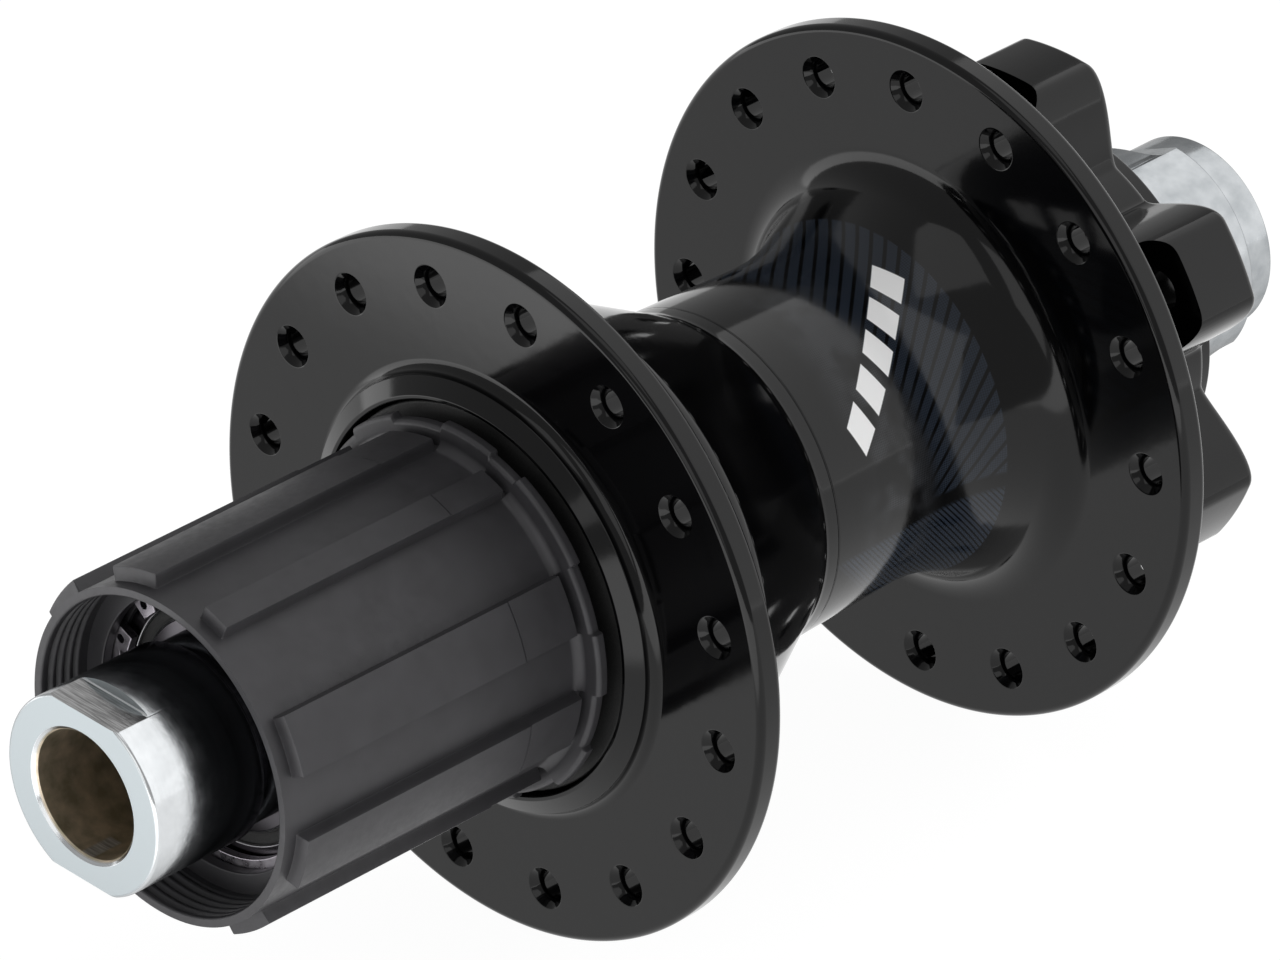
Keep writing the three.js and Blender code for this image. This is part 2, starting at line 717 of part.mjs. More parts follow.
const freehub = new THREE.Group();
freehub.add(
  piece('freehub_body', freehubBody(), DARK_GREY),
  piece('freehub_outer_spacer', freehubSpacer(OUTER_SPACER_BORE, FREEHUB_SEAT - FIT_GAP), SILVER),
  piece('freehub_circlip', circlip(), SPRING_STEEL),
  inboardBearing.outerRace,
  inboardBearing.seal,
  outboardBearing.outerRace,
  outboardBearing.seal,
);

const pawls = new THREE.Group();
pawlAngles().forEach((angle, i) => {
  const seat = new THREE.Group();
  seat.rotation.x = radians(angle - 90);
  seat.add(
    piece(`pawl_${i + 1}`, extruded(pawlOutline(), PAWL_X[0], PAWL_X[1]), STEEL),
    piece(`pawl_spring_${i + 1}`, pawlSpring(), SPRING_STEEL),
  );
  pawls.add(seat);
});

const ballSets = new THREE.Group();
ballSets.add(driveBearing.balls, discBearing.balls, inboardBearing.balls, outboardBearing.balls);

const group = new THREE.Group();
group.add(axle, shell, freehub, pawls, ballSets);

export default group;
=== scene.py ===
"""Rear bicycle hub: smooth meshes, finishes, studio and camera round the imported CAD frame."""

import json
from math import ceil, cos, pi, radians, sin, tan

import bmesh
import bpy
import numpy as np
from mathutils import Matrix, Vector


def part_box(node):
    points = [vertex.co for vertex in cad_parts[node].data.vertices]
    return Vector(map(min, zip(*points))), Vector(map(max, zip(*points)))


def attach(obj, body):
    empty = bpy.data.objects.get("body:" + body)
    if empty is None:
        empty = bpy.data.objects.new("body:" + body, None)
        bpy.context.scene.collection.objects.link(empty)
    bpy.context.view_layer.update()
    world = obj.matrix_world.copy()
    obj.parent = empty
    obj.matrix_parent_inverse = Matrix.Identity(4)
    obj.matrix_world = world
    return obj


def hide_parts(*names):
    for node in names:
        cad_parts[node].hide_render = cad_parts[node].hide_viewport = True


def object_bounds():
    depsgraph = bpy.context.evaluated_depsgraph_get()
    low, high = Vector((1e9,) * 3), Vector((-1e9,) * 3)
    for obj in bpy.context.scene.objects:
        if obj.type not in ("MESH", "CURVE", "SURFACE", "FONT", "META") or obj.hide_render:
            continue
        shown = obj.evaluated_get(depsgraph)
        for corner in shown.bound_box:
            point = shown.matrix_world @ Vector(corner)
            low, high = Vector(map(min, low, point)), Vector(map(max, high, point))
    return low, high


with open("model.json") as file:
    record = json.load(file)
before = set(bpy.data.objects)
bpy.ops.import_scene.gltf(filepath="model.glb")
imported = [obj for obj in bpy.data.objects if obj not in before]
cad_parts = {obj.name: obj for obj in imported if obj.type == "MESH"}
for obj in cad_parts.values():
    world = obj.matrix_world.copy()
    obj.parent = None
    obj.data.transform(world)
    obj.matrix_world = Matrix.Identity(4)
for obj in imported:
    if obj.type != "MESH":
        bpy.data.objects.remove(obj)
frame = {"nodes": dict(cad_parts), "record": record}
cad_low, cad_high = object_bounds()

# Lengths are in millimetres until a mesh is made. Angles go round X, from +Y (0) towards +Z (90).
MM = 0.001


def span(node):
    """First x, last x and outer radius of a CAD node."""
    low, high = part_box(node)
    return low[0] / MM, high[0] / MM, high[2] / MM


def mount_x(name):
    """Place of a mount's flat face along the axle."""
    mount = next(m for m in frame["record"]["mounts"] if m["name"] == name)
    return mount["pos_m"][0] / MM


# ---- outlines ----

ARC_STEP = 11


def rounded(corners, closed=True):
    """Outline through (a, b) corners; a third number rounds its corner to that radius."""
    count = len(corners)
    points = []
    for i, corner in enumerate(corners):
        here = np.array(corner[:2], float)
        end = not closed and i in (0, count - 1)
        if end or len(corner) < 3:
            points.append(here)
            continue
        before = np.array(corners[i - 1][:2], float) - here
        after = np.array(corners[(i + 1) % count][:2], float) - here
        before /= np.linalg.norm(before)
        after /= np.linalg.norm(after)
        half = np.arccos(np.clip(before @ after, -1, 1)) / 2
        middle = (before + after) / np.linalg.norm(before + after)
        centre = here + middle * corner[2] / sin(half)
        start = here + before * corner[2] / tan(half) - centre
        side = here + after * corner[2] / tan(half) - centre
        turn = np.arctan2(start[0] * side[1] - start[1] * side[0], start @ side)
        steps = max(2, ceil(abs(turn) / radians(ARC_STEP)))
        for angle in np.linspace(0, turn, steps + 1):
            c, s = cos(angle), sin(angle)
            points.append(centre + (c * start[0] - s * start[1], s * start[0] + c * start[1]))
    return np.array(points)


def polar(radius, angle):
    return radius * cos(radians(angle)), radius * sin(radians(angle))


def turned(angle):
    """A turn about the axle."""
    return Matrix.Rotation(radians(angle), 3, "X")


def smoothstep(values):
    t = np.clip(values, 0, 1)
    return t * t * (3 - 2 * t)


def window(values, start, end, edge):
    """1 between start and end and 0 outside, with soft walls of the given width."""
    return smoothstep((values - start) / edge + 0.5) * smoothstep((end - values) / edge + 0.5)


# ---- meshes ----

def linked(name, data):
    """A new object in the scene that holds the data."""
    obj = bpy.data.objects.new(name, data)
    bpy.context.scene.collection.objects.link(obj)
    return obj


def plain_mesh(name, points, faces):
    """A mesh as given, with its points in metres."""
    mesh = bpy.data.meshes.new(name)
    mesh.from_pydata(points, [], faces)
    return mesh


def closed_mesh(name, points, faces):
    """An object whose faces are turned outwards, with its points in metres."""
    mesh = plain_mesh(name, points, faces)
    bm = bmesh.new()
    bm.from_mesh(mesh)
    if bm.calc_volume(signed=True) < 0:
        bmesh.ops.reverse_faces(bm, faces=bm.faces)
    bm.to_mesh(mesh)
    bm.free()
    return linked(name, mesh)


def stack(name, rings):
    """A closed shape through equal rings of points in millimetres, with flat ends."""
    count = len(rings[0])
    last = (len(rings) - 1) * count
    faces = []
    for low in range(0, last, count):
        high = low + count
        for j in range(count):
            right = (j + 1) % count
            faces.append((low + j, low + right, high + right, high + j))
    ends = [tuple(range(count - 1, -1, -1)), tuple(range(last, last + count))]
    return closed_mesh(name, [Vector(p) * MM for ring in rings for p in ring], faces + ends)


def skin(name, x, r, theta):
    """A ring-shaped surface: closed rows of x and r by columns of theta, in degrees."""
    theta = radians(1) * np.asarray(theta)
    x, r = np.broadcast_arrays(x, r)
    rows, columns = x.shape[0], len(theta)
    x = np.broadcast_to(x, (rows, columns))
    points = np.stack([x, r * np.cos(theta), r * np.sin(theta)], axis=-1).reshape(-1, 3)
    i, j = np.meshgrid(np.arange(rows), np.arange(columns), indexing="ij")
    below, right = (i + 1) % rows, (j + 1) % columns
    corners = [i * columns + j, below * columns + j, below * columns + right, i * columns + right]
    faces = np.stack(corners, axis=-1).reshape(-1, 4)
    return closed_mesh(name, (points * MM).tolist(), faces.tolist())


def around(count):
    return np.arange(count) * 360 / count


def revolve(name, corners, segments=160):
    """A closed outline of (x, r) corners turned about the axle."""
    outline = rounded(corners)
    return skin(name, outline[:, :1], outline[:, 1:], around(segments))


def prism(name, outline, x0, x1, edge=0.0, angle=0.0):
    """A (Y, Z) outline pushed along X and turned about it, with its end edges bevelled."""
    obj = stack(name, [[(x, y, z) for y, z in outline] for x in (x0, x1)])
    bm = bmesh.new()
    bm.from_mesh(obj.data)
    if edge:
        rims = [e for e in bm.edges if abs(e.verts[0].co.x - e.verts[1].co.x) < 1e-9]
        bmesh.ops.bevel(bm, geom=rims, offset=edge * MM, segments=2, profile=0.5, affect="EDGES")
    bmesh.ops.rotate(bm, verts=bm.verts, matrix=turned(angle))
    bm.to_mesh(obj.data)
    bm.free()
    return obj


def spin_cutter(name, corners, place, segments=32):
    """An open outline of (x, r) corners, turned about a line beside the axle, with closed ends."""
    outline = rounded(corners, closed=False)
    angles = np.linspace(0, 2 * pi, segments, endpoint=False)
    y, z = place
    return stack(name, [[(x, y + r * cos(a), z + r * sin(a)) for a in angles] for x, r in outline])


def joined(name, parts):
    """One object from several closed meshes that don't touch."""
    bm = bmesh.new()
    for part in parts:
        bm.from_mesh(part.data)
        bpy.data.objects.remove(part)
    mesh = bpy.data.meshes.new(name)
    bm.to_mesh(mesh)
    bm.free()
    return linked(name, mesh)


def combine(obj, others, operation):
    """Cuts closed meshes out of an object, or adds them to it."""
    tool = joined(obj.name + "_tool", others)
    modifier = obj.modifiers.new(operation, "BOOLEAN")
    modifier.operation = operation
    modifier.solver = "MANIFOLD"
    modifier.object = tool
    shape = obj.evaluated_get(bpy.context.evaluated_depsgraph_get())
    mesh = bpy.data.meshes.new_from_object(shape)
    obj.modifiers.clear()
    obj.data = mesh
    bpy.data.objects.remove(tool)
    return obj


SHARP_ANGLE = 38
NO_LENGTH = 1e-30


def read(collection, attribute, width=1, kind=np.float64):
    """One attribute of every item in a collection, as an array."""
    values = np.empty(len(collection) * width, kind)
    collection.foreach_get(attribute, values)
    return values.reshape(-1, width) if width > 1 else values


def shade(mesh):
    """Smooth normals in which a flat region counts as one big face and sharp corners stay sharp."""
    count = len(mesh.polygons)
    mesh.polygons.foreach_set("use_smooth", [True] * count)
    normals = read(mesh.polygons, "normal", 3)
    offsets = (normals * read(mesh.polygons, "center", 3)).sum(axis=1) / MM
    planes = np.column_stack([np.round(normals, 3), np.round(offsets, 2)])
    _, region = np.unique(planes, axis=0, return_inverse=True)
    region = region.reshape(-1)
    weight = np.bincount(region, weights=read(mesh.polygons, "area"))[region]
    vertex = read(mesh.loops, "vertex_index", kind=np.int32)
    face = np.repeat(np.arange(count), read(mesh.polygons, "loop_total", kind=np.int32))
    order = np.argsort(vertex, kind="stable")
    vertex, face = vertex[order], face[order]
    weighted = normals * weight[:, None]
    total = weighted[face]
    for step in range(1, np.bincount(vertex).max()):
        first, second = face[:-step], face[step:]
        alike = (normals[first] * normals[second]).sum(axis=1) > cos(radians(SHARP_ANGLE))
        alike &= vertex[:-step] == vertex[step:]
        total[:-step][alike] += weighted[second[alike]]
        total[step:][alike] += weighted[first[alike]]
    corner = np.empty_like(total)
    length = np.maximum(np.linalg.norm(total, axis=1), NO_LENGTH)
    corner[order] = total / length[:, None]
    mesh.normals_split_custom_set(corner.tolist())


def show(obj, body, slot, finish, *nodes):
    """Gives a finished piece its shading, finish and body, and lets it stand for CAD nodes."""
    mesh = obj.data
    shade(mesh)
    mesh.materials.clear()
    mesh.materials.append(finish)
    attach(obj, body)
    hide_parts(*nodes)
    return obj


# ---- material nodes ----

class Shader:
    """A material being wired: short calls for the nodes that the finishes share."""

    def __init__(self, name, **sockets):
        self.material = bpy.data.materials.new(name)
        self.material.use_nodes = True
        self.nodes = self.material.node_tree.nodes
        self.links = self.material.node_tree.links
        self.surface = self.nodes["Principled BSDF"]
        for socket, value in sockets.items():
            self.surface.inputs[socket.replace("_", " ")].default_value = value
        place = self.nodes.new("ShaderNodeTexCoord").outputs["Object"]
        self.place = self.vector("SCALE", place, scale=1 / MM)
        self.x, self.y, self.z = self.split(self.place)

    def feed(self, socket, value):
        if isinstance(value, bpy.types.NodeSocket):
            self.links.new(value, socket)
        else:
            socket.default_value = value

    def math(self, operation, *values):
        node = self.nodes.new("ShaderNodeMath")
        node.operation = operation
        for socket, value in zip(node.inputs, values):
            self.feed(socket, value)
        return node.outputs[0]

    def vector(self, operation, *values, scale=None):
        node = self.nodes.new("ShaderNodeVectorMath")
        node.operation = operation
        for socket, value in zip(node.inputs, values):
            self.feed(socket, value)
        if scale is not None:
            node.inputs["Scale"].default_value = scale
        return node.outputs[0]

    def times(self, first, *others):
        """The product of all the values."""
        for other in others:
            first = self.math("MULTIPLY", first, other)
        return first

    def split(self, vector):
        node = self.nodes.new("ShaderNodeSeparateXYZ")
        self.links.new(vector, node.inputs[0])
        return node.outputs

    def radius(self):
        squares = self.times(self.y, self.y), self.times(self.z, self.z)
        return self.math("SQRT", self.math("ADD", *squares))

    def angle(self):
        """Degrees round the axle, from +Y towards +Z."""
        return self.times(self.math("ARCTAN2", self.z, self.y), 180 / pi)

    def facing(self, axis):
        """How squarely the surface faces along an axis (0, 1 or 2), from 0 to 1."""
        normal = self.nodes.new("ShaderNodeTexCoord").outputs["Normal"]
        return self.math("ABSOLUTE", self.split(normal)[axis])

    def end_face(self):
        """1 on faces square to the axle."""
        return self.ranged(self.facing(0), 0.80, 0.97)

    def noise(self, scale, detail=2.0, place=None):
        node = self.nodes.new("ShaderNodeTexNoise")
        node.inputs["Scale"].default_value = scale
        node.inputs["Detail"].default_value = detail
        self.links.new(place or self.place, node.inputs["Vector"])
        return node.outputs["Fac"]

    def ranged(self, value, low, high, to_low=0.0, to_high=1.0, smooth=False):
        node = self.nodes.new("ShaderNodeMapRange")
        node.interpolation_type = "SMOOTHSTEP" if smooth else "LINEAR"
        for socket, number in zip(node.inputs, (value, low, high, to_low, to_high)):
            self.feed(socket, number)
        return node.outputs[0]

    def cloud(self, scale, detail, to_low=0.0, to_high=1.0):
        """Noise spread over the whole of a range."""
        return self.ranged(self.noise(scale, detail), 0.3, 0.7, to_low, to_high)

    def grain(self, *waves):
        """Noise drawn out into streaks, by its scale along each axis."""
        return self.noise(1.0, 3.0, place=self.vector("MULTIPLY", self.place, waves))

    def between(self, value, low, high, edge):
        """1 between low and high, with soft edges."""
        rise = self.ranged(value, low - edge, low + edge, smooth=True)
        fall = self.ranged(value, high - edge, high + edge, 1.0, 0.0, smooth=True)
        return self.times(rise, fall)

    def mix(self, factor, first, second):
        node = self.nodes.new("ShaderNodeMix")
        node.data_type = "RGBA"
        self.feed(node.inputs["Factor"], factor)
        self.feed(node.inputs["A"], first)
        self.feed(node.inputs["B"], second)
        return node.outputs["Result"]

    def roughness(self, value):
        self.links.new(value, self.surface.inputs["Roughness"])

    def colour(self, value):
        self.links.new(value, self.surface.inputs["Base Color"])

    def bump(self, *layers):
        """Layers are (height in 0..1, depth in millimetres)."""
        normal = None
        for height, depth in layers:
            node = self.nodes.new("ShaderNodeBump")
            node.inputs["Strength"].default_value = 1.0
            node.inputs["Distance"].default_value = depth * MM
            self.links.new(height, node.inputs["Height"])
            if normal:
                self.links.new(normal, node.inputs["Normal"])
            normal = node.outputs[0]
        self.links.new(normal, self.surface.inputs["Normal"])

    def turning(self, pitch):
        """Lathe marks: rings that follow the radius and the place along the axle."""
        node = self.nodes.new("ShaderNodeCombineXYZ")
        self.feed(node.inputs["X"], self.math("DIVIDE", self.x, pitch))
        self.feed(node.inputs["Y"], self.math("DIVIDE", self.radius(), pitch))
        return self.noise(1.0, 3.0, place=node.outputs[0])


def grey(value):
    return value, value, value, 1.0


# ---- finishes ----

WRAP_START, WRAP_END = -26.8, -5.8
WRAP_RADIUS = 16.4
WRAP_EDGE = 0.05
STRIPE_SLANT = 0.9
STRIPE_PITCH = 1.69
STRIPE_SHARE = (0.14, 0.86)
STRIPES_LOWEST = -1.0
DISC_SIDE_EDGE = (18.6, 0.16)
FINE_PITCH = STRIPE_PITCH / 3
FINE_SHARE = (0.1, 0.75)
FINE_HIGHEST = -2.2
WEAVE_PITCH = 0.42
FADE_X, FADE_ARC = (-18.0, -10.5), (-8.0, 27.0)
BLUE_GREY = (0.021, 0.028, 0.041, 1.0)
WRAP_GREY_PATCH = (0.034, 0.036, 0.040, 1.0)


def printed_wrap(shader, black):
    """The barrel's printed wrap: woven slanted stripes that fade to grey, and a row of bars."""
    x = shader.x
    arc = shader.times(shader.angle(), WRAP_RADIUS * pi / 180)
    on_wrap = shader.between(x, WRAP_START, WRAP_END, WRAP_EDGE)

    across = shader.math("ADD", arc, shader.times(x, STRIPE_SLANT))
    along = shader.math("SUBTRACT", x, shader.times(arc, STRIPE_SLANT))
    turns = 2 * pi / WEAVE_PITCH
    threads = [shader.math("SINE", shader.times(way, turns)) for way in (across, along)]
    weave = shader.ranged(shader.times(*threads), -0.6, 0.6, 0.35, 1.0)

    stripe_place = shader.math("FRACT", shader.math("DIVIDE", across, STRIPE_PITCH))
    stripe = shader.between(stripe_place, *STRIPE_SHARE, 0.04)
    upper = shader.ranged(arc, STRIPES_LOWEST, STRIPES_LOWEST + 0.4)
    edge_start, edge_slope = DISC_SIDE_EDGE
    edge = shader.math("SUBTRACT", shader.times(arc, edge_slope), edge_start)
    near_disc = shader.ranged(shader.math("SUBTRACT", x, edge), 0.8, -1.6, smooth=True)
    stripes = shader.times(stripe, weave, near_disc, upper)
    print_colour = shader.mix(stripes, black, BLUE_GREY)

    fine_place = shader.math("FRACT", shader.math("DIVIDE", along, FINE_PITCH))
    fine = shader.between(fine_place, *FINE_SHARE, 0.08)
    lower_edge = shader.math("SUBTRACT", shader.times(arc, 0.9), x)
    below = shader.ranged(arc, FINE_HIGHEST, FINE_HIGHEST - 0.6)
    lower = shader.times(fine, below, shader.ranged(lower_edge, 3.0, 5.0))
    print_colour = shader.mix(lower, print_colour, BLUE_GREY)

    # A cloudy patch over the middle of the wrap, where the stripes give way to plain grey.
    cloud = shader.ranged(shader.noise(0.22, 2.0), 0.4, 0.62, smooth=True)
    spread = shader.times(shader.between(x, *FADE_X, 2.2), shader.between(arc, *FADE_ARC, 4.0))
    print_colour = shader.mix(shader.times(spread, cloud, weave), print_colour, WRAP_GREY_PATCH)

    print_colour = shader.mix(slanted_bars(shader, x, arc), print_colour, grey(0.95))
    return shader.mix(on_wrap, black, print_colour)


BARS = 5
BAR_PITCH = 4.1
BAR_LENGTH = 3.0
BAR_SHARE = (0.1, 0.78)
BAR_SLANT = 0.45
BAR_ROW_START = (-24.6, 21.5)
BAR_ROW_END = (-7.6, 5.8)


def slanted_bars(shader, x, arc):
    """A row of plain slanted bars, running across the wrap in place of lettering."""
    start, end = Vector(BAR_ROW_START), Vector(BAR_ROW_END)
    along = (end - start).normalized()
    across = Vector((-along.y, along.x))
    dx = shader.math("SUBTRACT", x, start.x)
    dy = shader.math("SUBTRACT", arc, start.y)
    u, v = [shader.math("ADD", shader.times(dx, way.x), shader.times(dy, way.y))
            for way in (along, across)]
    step = shader.math("DIVIDE", shader.math("ADD", u, shader.times(v, BAR_SLANT)), BAR_PITCH)
    inside = shader.between(shader.math("FRACT", step), *BAR_SHARE, 0.015)
    row = shader.between(step, 0.0, float(BARS), 0.01)
    tall = shader.between(v, -BAR_LENGTH / 2, BAR_LENGTH / 2, 0.05)
    return shader.times(inside, row, tall)


def gloss_black():
    """Polished black anodising with a printed wrap on the barrel."""
    shader = Shader("gloss_black_shell", IOR=1.39)
    black = (0.0009, 0.0009, 0.0011, 1.0)
    shader.colour(printed_wrap(shader, black))
    shader.roughness(shader.cloud(0.09, 3.0, 0.07, 0.12))
    seam = shader.between(shader.x, WRAP_END - 0.05, WRAP_END + 0.1, WRAP_EDGE)
    shader.bump((shader.noise(0.55, 2.0), 0.006), (seam, -0.03))
    return shader.material


def satin_grey():
    """Hard-anodised aluminium: dark grey with a faint grain and fine turning marks."""
    shader = Shader("grey_freehub", Metallic=0.25, IOR=1.5)
    cloud = shader.cloud(0.35, 4.0)
    shader.colour(shader.mix(cloud, (0.034, 0.033, 0.036, 1.0), (0.042, 0.041, 0.045, 1.0)))
    shader.roughness(shader.cloud(1.4, 4.0, 0.40, 0.50))
    shader.bump((shader.noise(9.0, 2.0), 0.006), (shader.turning(0.12), 0.002))
    return shader.material


CAP_BORE_EDGE = 6.4
# The drive cap's inner stretch, inside the cassette body, is painted dark: painted shade and a
# painted reflection of the dark body.
DRIVE_CAP_PAINTED_SHADE = (50.0, 66.9)
DISC_CAP_START = -50.0
DRIVE_FLAT_START = 67.1


def cap_colour(shader, end_face, bore):
    """Bright turned metal, duller on the disc cap, with painted shade at the drive cap's ragged
    inner end: a painted reflection of the dark cassette body.
    """
    cloud = shader.cloud(0.4, 3.0)
    bright = shader.mix(cloud, (0.64, 0.66, 0.675, 1.0), (0.74, 0.76, 0.775, 1.0))
    dull = shader.mix(cloud, (0.38, 0.40, 0.415, 1.0), (0.54, 0.56, 0.575, 1.0))
    on_disc_cap = shader.ranged(shader.x, DISC_CAP_START, DISC_CAP_START - 0.2)
    # Painted shade: the drive cap's inner end is painted dark grey with a ragged edge, in place of
    # the cassette body's shade and reflection.
    ragged = shader.math("ADD", shader.x, shader.times(shader.noise(0.6, 3.0), 3.0))
    inner = shader.between(ragged, *DRIVE_CAP_PAINTED_SHADE, 1.9)
    colour = shader.mix(on_disc_cap, bright, dull)
    colour = shader.mix(inner, colour, (0.17, 0.18, 0.19, 1.0))
    colour = shader.mix(end_face, colour, (0.39, 0.425, 0.44, 1.0))
    patches = shader.ranged(shader.noise(0.5, 4.0), 0.35, 0.65)
    bronze = shader.mix(patches, (0.38, 0.34, 0.25, 1.0), (0.70, 0.60, 0.47, 1.0))
    return shader.mix(bore, colour, bronze)


def turned_silver():
    """Turned aluminium: blasted end faces, milled flats and a bronze-tinted bore."""
    shader = Shader("silver_alloy", Metallic=1.0, Specular_Tint=grey(0.5))
    end_face = shader.end_face()
    bore = shader.ranged(shader.radius(), CAP_BORE_EDGE - 0.05, CAP_BORE_EDGE - 0.2)
    upright = shader.ranged(shader.facing(2), 0.990, 0.996)
    flat = shader.times(upright, shader.ranged(shader.x, DRIVE_FLAT_START, DRIVE_FLAT_START + 0.2))
    milling = shader.ranged(shader.grain(7.0, 0.4, 0.4), 0.35, 0.65)
    milled = shader.mix(milling, grey(0.38), grey(0.78))
    shader.colour(shader.mix(flat, cap_colour(shader, end_face, bore), milled))
    marks = shader.turning(0.07)
    mottle = shader.math("ADD", marks, shader.times(shader.noise(1.3, 4.0), 0.6))
    polish = shader.ranged(mottle, 0.55, 1.05, 0.12, 0.24)
    matt = shader.math("MAXIMUM", shader.times(end_face, 0.48), shader.times(bore, 0.45))
    shader.roughness(shader.math("MAXIMUM", polish, matt))
    shader.bump((marks, 0.0012), (shader.noise(0.9, 3.0), 0.012))
    return shader.material


def dark_alloy():
    """Grey-brown anodised axle tube, with streaks along its bore."""
    shader = Shader("dark_alloy", Metallic=0.85)
    streaks = shader.ranged(shader.grain(0.05, 0.6, 0.6), 0.3, 0.7)
    shader.colour(shader.mix(streaks, (0.24, 0.20, 0.14, 1.0), (0.44, 0.38, 0.28, 1.0)))
    shader.roughness(shader.cloud(2.0, 3.0, 0.3, 0.45))
    shader.bump((shader.noise(6.0, 2.0), 0.004))
    return shader.material


def bearing_steel():
    """Ground and polished steel, with dark grey end faces."""
    shader = Shader("bearing_steel", Metallic=1.0)
    polished = shader.mix(shader.cloud(0.8, 3.0), (0.50, 0.50, 0.52, 1.0), (0.60, 0.60, 0.62, 1.0))
    shader.colour(shader.mix(shader.end_face(), polished, (0.085, 0.080, 0.088, 1.0)))
    marks = shader.turning(0.05)
    shader.roughness(shader.ranged(marks, 0.3, 0.7, 0.14, 0.24))
    shader.bump((marks, 0.001))
    return shader.material


def spring_steel():
    """Blued spring steel with a faint rolled grain."""
    shader = Shader("spring_steel", Metallic=1.0)
    grain = shader.grain(8.0, 1.2, 1.2)
    rolled = shader.ranged(grain, 0.3, 0.7)
    shader.colour(shader.mix(rolled, (0.29, 0.27, 0.30, 1.0), (0.38, 0.36, 0.39, 1.0)))
    shader.roughness(shader.ranged(grain, 0.3, 0.7, 0.24, 0.36))
    shader.bump((grain, 0.002))
    return shader.material


def seal_rubber():
    """Matt moulded rubber."""
    shader = Shader("seal_rubber", IOR=1.45)
    shader.colour(shader.mix(shader.cloud(3.0, 4.0), grey(0.006), grey(0.011)))
    shader.roughness(shader.cloud(5.0, 3.0, 0.50, 0.68))
    shader.bump((shader.noise(10.0, 2.0), 0.01))
    return shader.material


SHELL_FINISH = gloss_black()
FREEHUB_FINISH = satin_grey()
SILVER = turned_silver()
AXLE_FINISH = dark_alloy()
STEEL = bearing_steel()
SPRING = spring_steel()
RUBBER = seal_rubber()


# ---- shell ----

DISC_FACE = mount_x("disc_spoke_flange_face")
DRIVE_FACE = mount_x("drive_spoke_flange_face")
ROTOR_FACE = mount_x("rotor_face")
PILOT_END, COLLAR_END, FLANGE_RADIUS = span("hub_shell")
FLANGE_THICKNESS = 2.8
DISC_BACK = DISC_FACE - FLANGE_THICKNESS
DRIVE_BACK = DRIVE_FACE - FLANGE_THICKNESS
RIM_ROUND = 0.7
SHELL_COLUMNS = 480

LOBE_ANGLE = 31
LOBES = 6
LOBE_TIP, LOBE_VALLEY = 26.5, 18.4
LOBE_FLAT, LOBE_FOOT = 8, 24
BOLT_CIRCLE, BOLT_RADIUS, BOLT_LEAD = 22, 2.1, 0.4
POCKET_X = (-44.9, -36.2)
POCKET_HALF_WIDTH = 5.2
POCKET_FLOOR = 16.6
POCKET_CORNER = 2.5
# The pocket's rounded floor: height above it, and how far the walls are drawn in there.
POCKET_LEVELS = [(0.0, 1.0), (0.08, 0.6), (0.3, 0.3), (0.6, 0.08), (1.0, 0.0)]

SPOKE_CIRCLE = 29
SPOKE_HOLES = 16
SPOKE_HOLE_RADIUS = 1.3
SPOKE_HOLE_LIP, SPOKE_HOLE_ROLL = 0.75, 1.1
DRIVE_HOLE_ANGLE, DISC_HOLE_ANGLE = 14, 25.2

PILOT_RADIUS, SHELL_SEAT, SHELL_BORE = 17.2, 15.05, 13.2
# Corners of the barrel's outline: x, radius and rounding.
FLARE_CORNER_DISC = (-23.9, 15.78, 19.5)
FLARE_CORNER_DRIVE = (-3.9, 16.51, 3.0)
DISC_FILLET_CORNER, DRIVE_HOUSING_CORNER = 19.8, 11.55
HOUSING_RADIUS = 24.4
COLLAR_BORE, COLLAR_RADIUS = 18.9, 20.9
COLLAR_SLOPE_START, COLLAR_LAND = 23.3, 0.4
HOUSING_FLOOR = 12.6
DRIVE_SEAT_STEP, DISC_SEAT_STEP = 4.3, -45.3


def lobe_radius(angle):
    """Edge of the disc mount: flat-topped lobes with smooth hollows between them."""
    pitch = 360 / LOBES
    off = abs((angle - LOBE_ANGLE + pitch / 2) % pitch - pitch / 2)
    fall = smoothstep((off - LOBE_FLAT) / (LOBE_FOOT - LOBE_FLAT))
    return float(LOBE_TIP + (LOBE_VALLEY - LOBE_TIP) * fall)


def shell_outline(lobe):
    """The shell's section where the disc mount's edge is at the radius lobe."""
    return rounded([
        (PILOT_END, SHELL_SEAT, 0.2),
        (PILOT_END, PILOT_RADIUS, 0.35),
        (ROTOR_FACE, PILOT_RADIUS),
        (ROTOR_FACE, lobe, 0.9),
        (DISC_BACK, lobe, 1.0),
        (DISC_BACK, FLANGE_RADIUS, RIM_ROUND),
        (DISC_FACE, FLANGE_RADIUS, RIM_ROUND),
        (DISC_FACE, DISC_FILLET_CORNER, 4.0),
        FLARE_CORNER_DISC,
        FLARE_CORNER_DRIVE,
        (DRIVE_HOUSING_CORNER, HOUSING_RADIUS, 3.0),
        (DRIVE_BACK, HOUSING_RADIUS, 2.0),
        (DRIVE_BACK, FLANGE_RADIUS, RIM_ROUND),
        (DRIVE_FACE, FLANGE_RADIUS, RIM_ROUND),
        (DRIVE_FACE, COLLAR_RADIUS, 1.1),
        (COLLAR_SLOPE_START, COLLAR_RADIUS, 0.12),
        (COLLAR_END, COLLAR_BORE + COLLAR_LAND, 0.2),
        (COLLAR_END, COLLAR_BORE, 0.15),
        (HOUSING_FLOOR, COLLAR_BORE),
        (HOUSING_FLOOR, SHELL_SEAT),
        (DRIVE_SEAT_STEP, SHELL_SEAT),
        (DRIVE_SEAT_STEP, SHELL_BORE),
        (DISC_SEAT_STEP, SHELL_BORE),
        (DISC_SEAT_STEP, SHELL_SEAT),
    ])


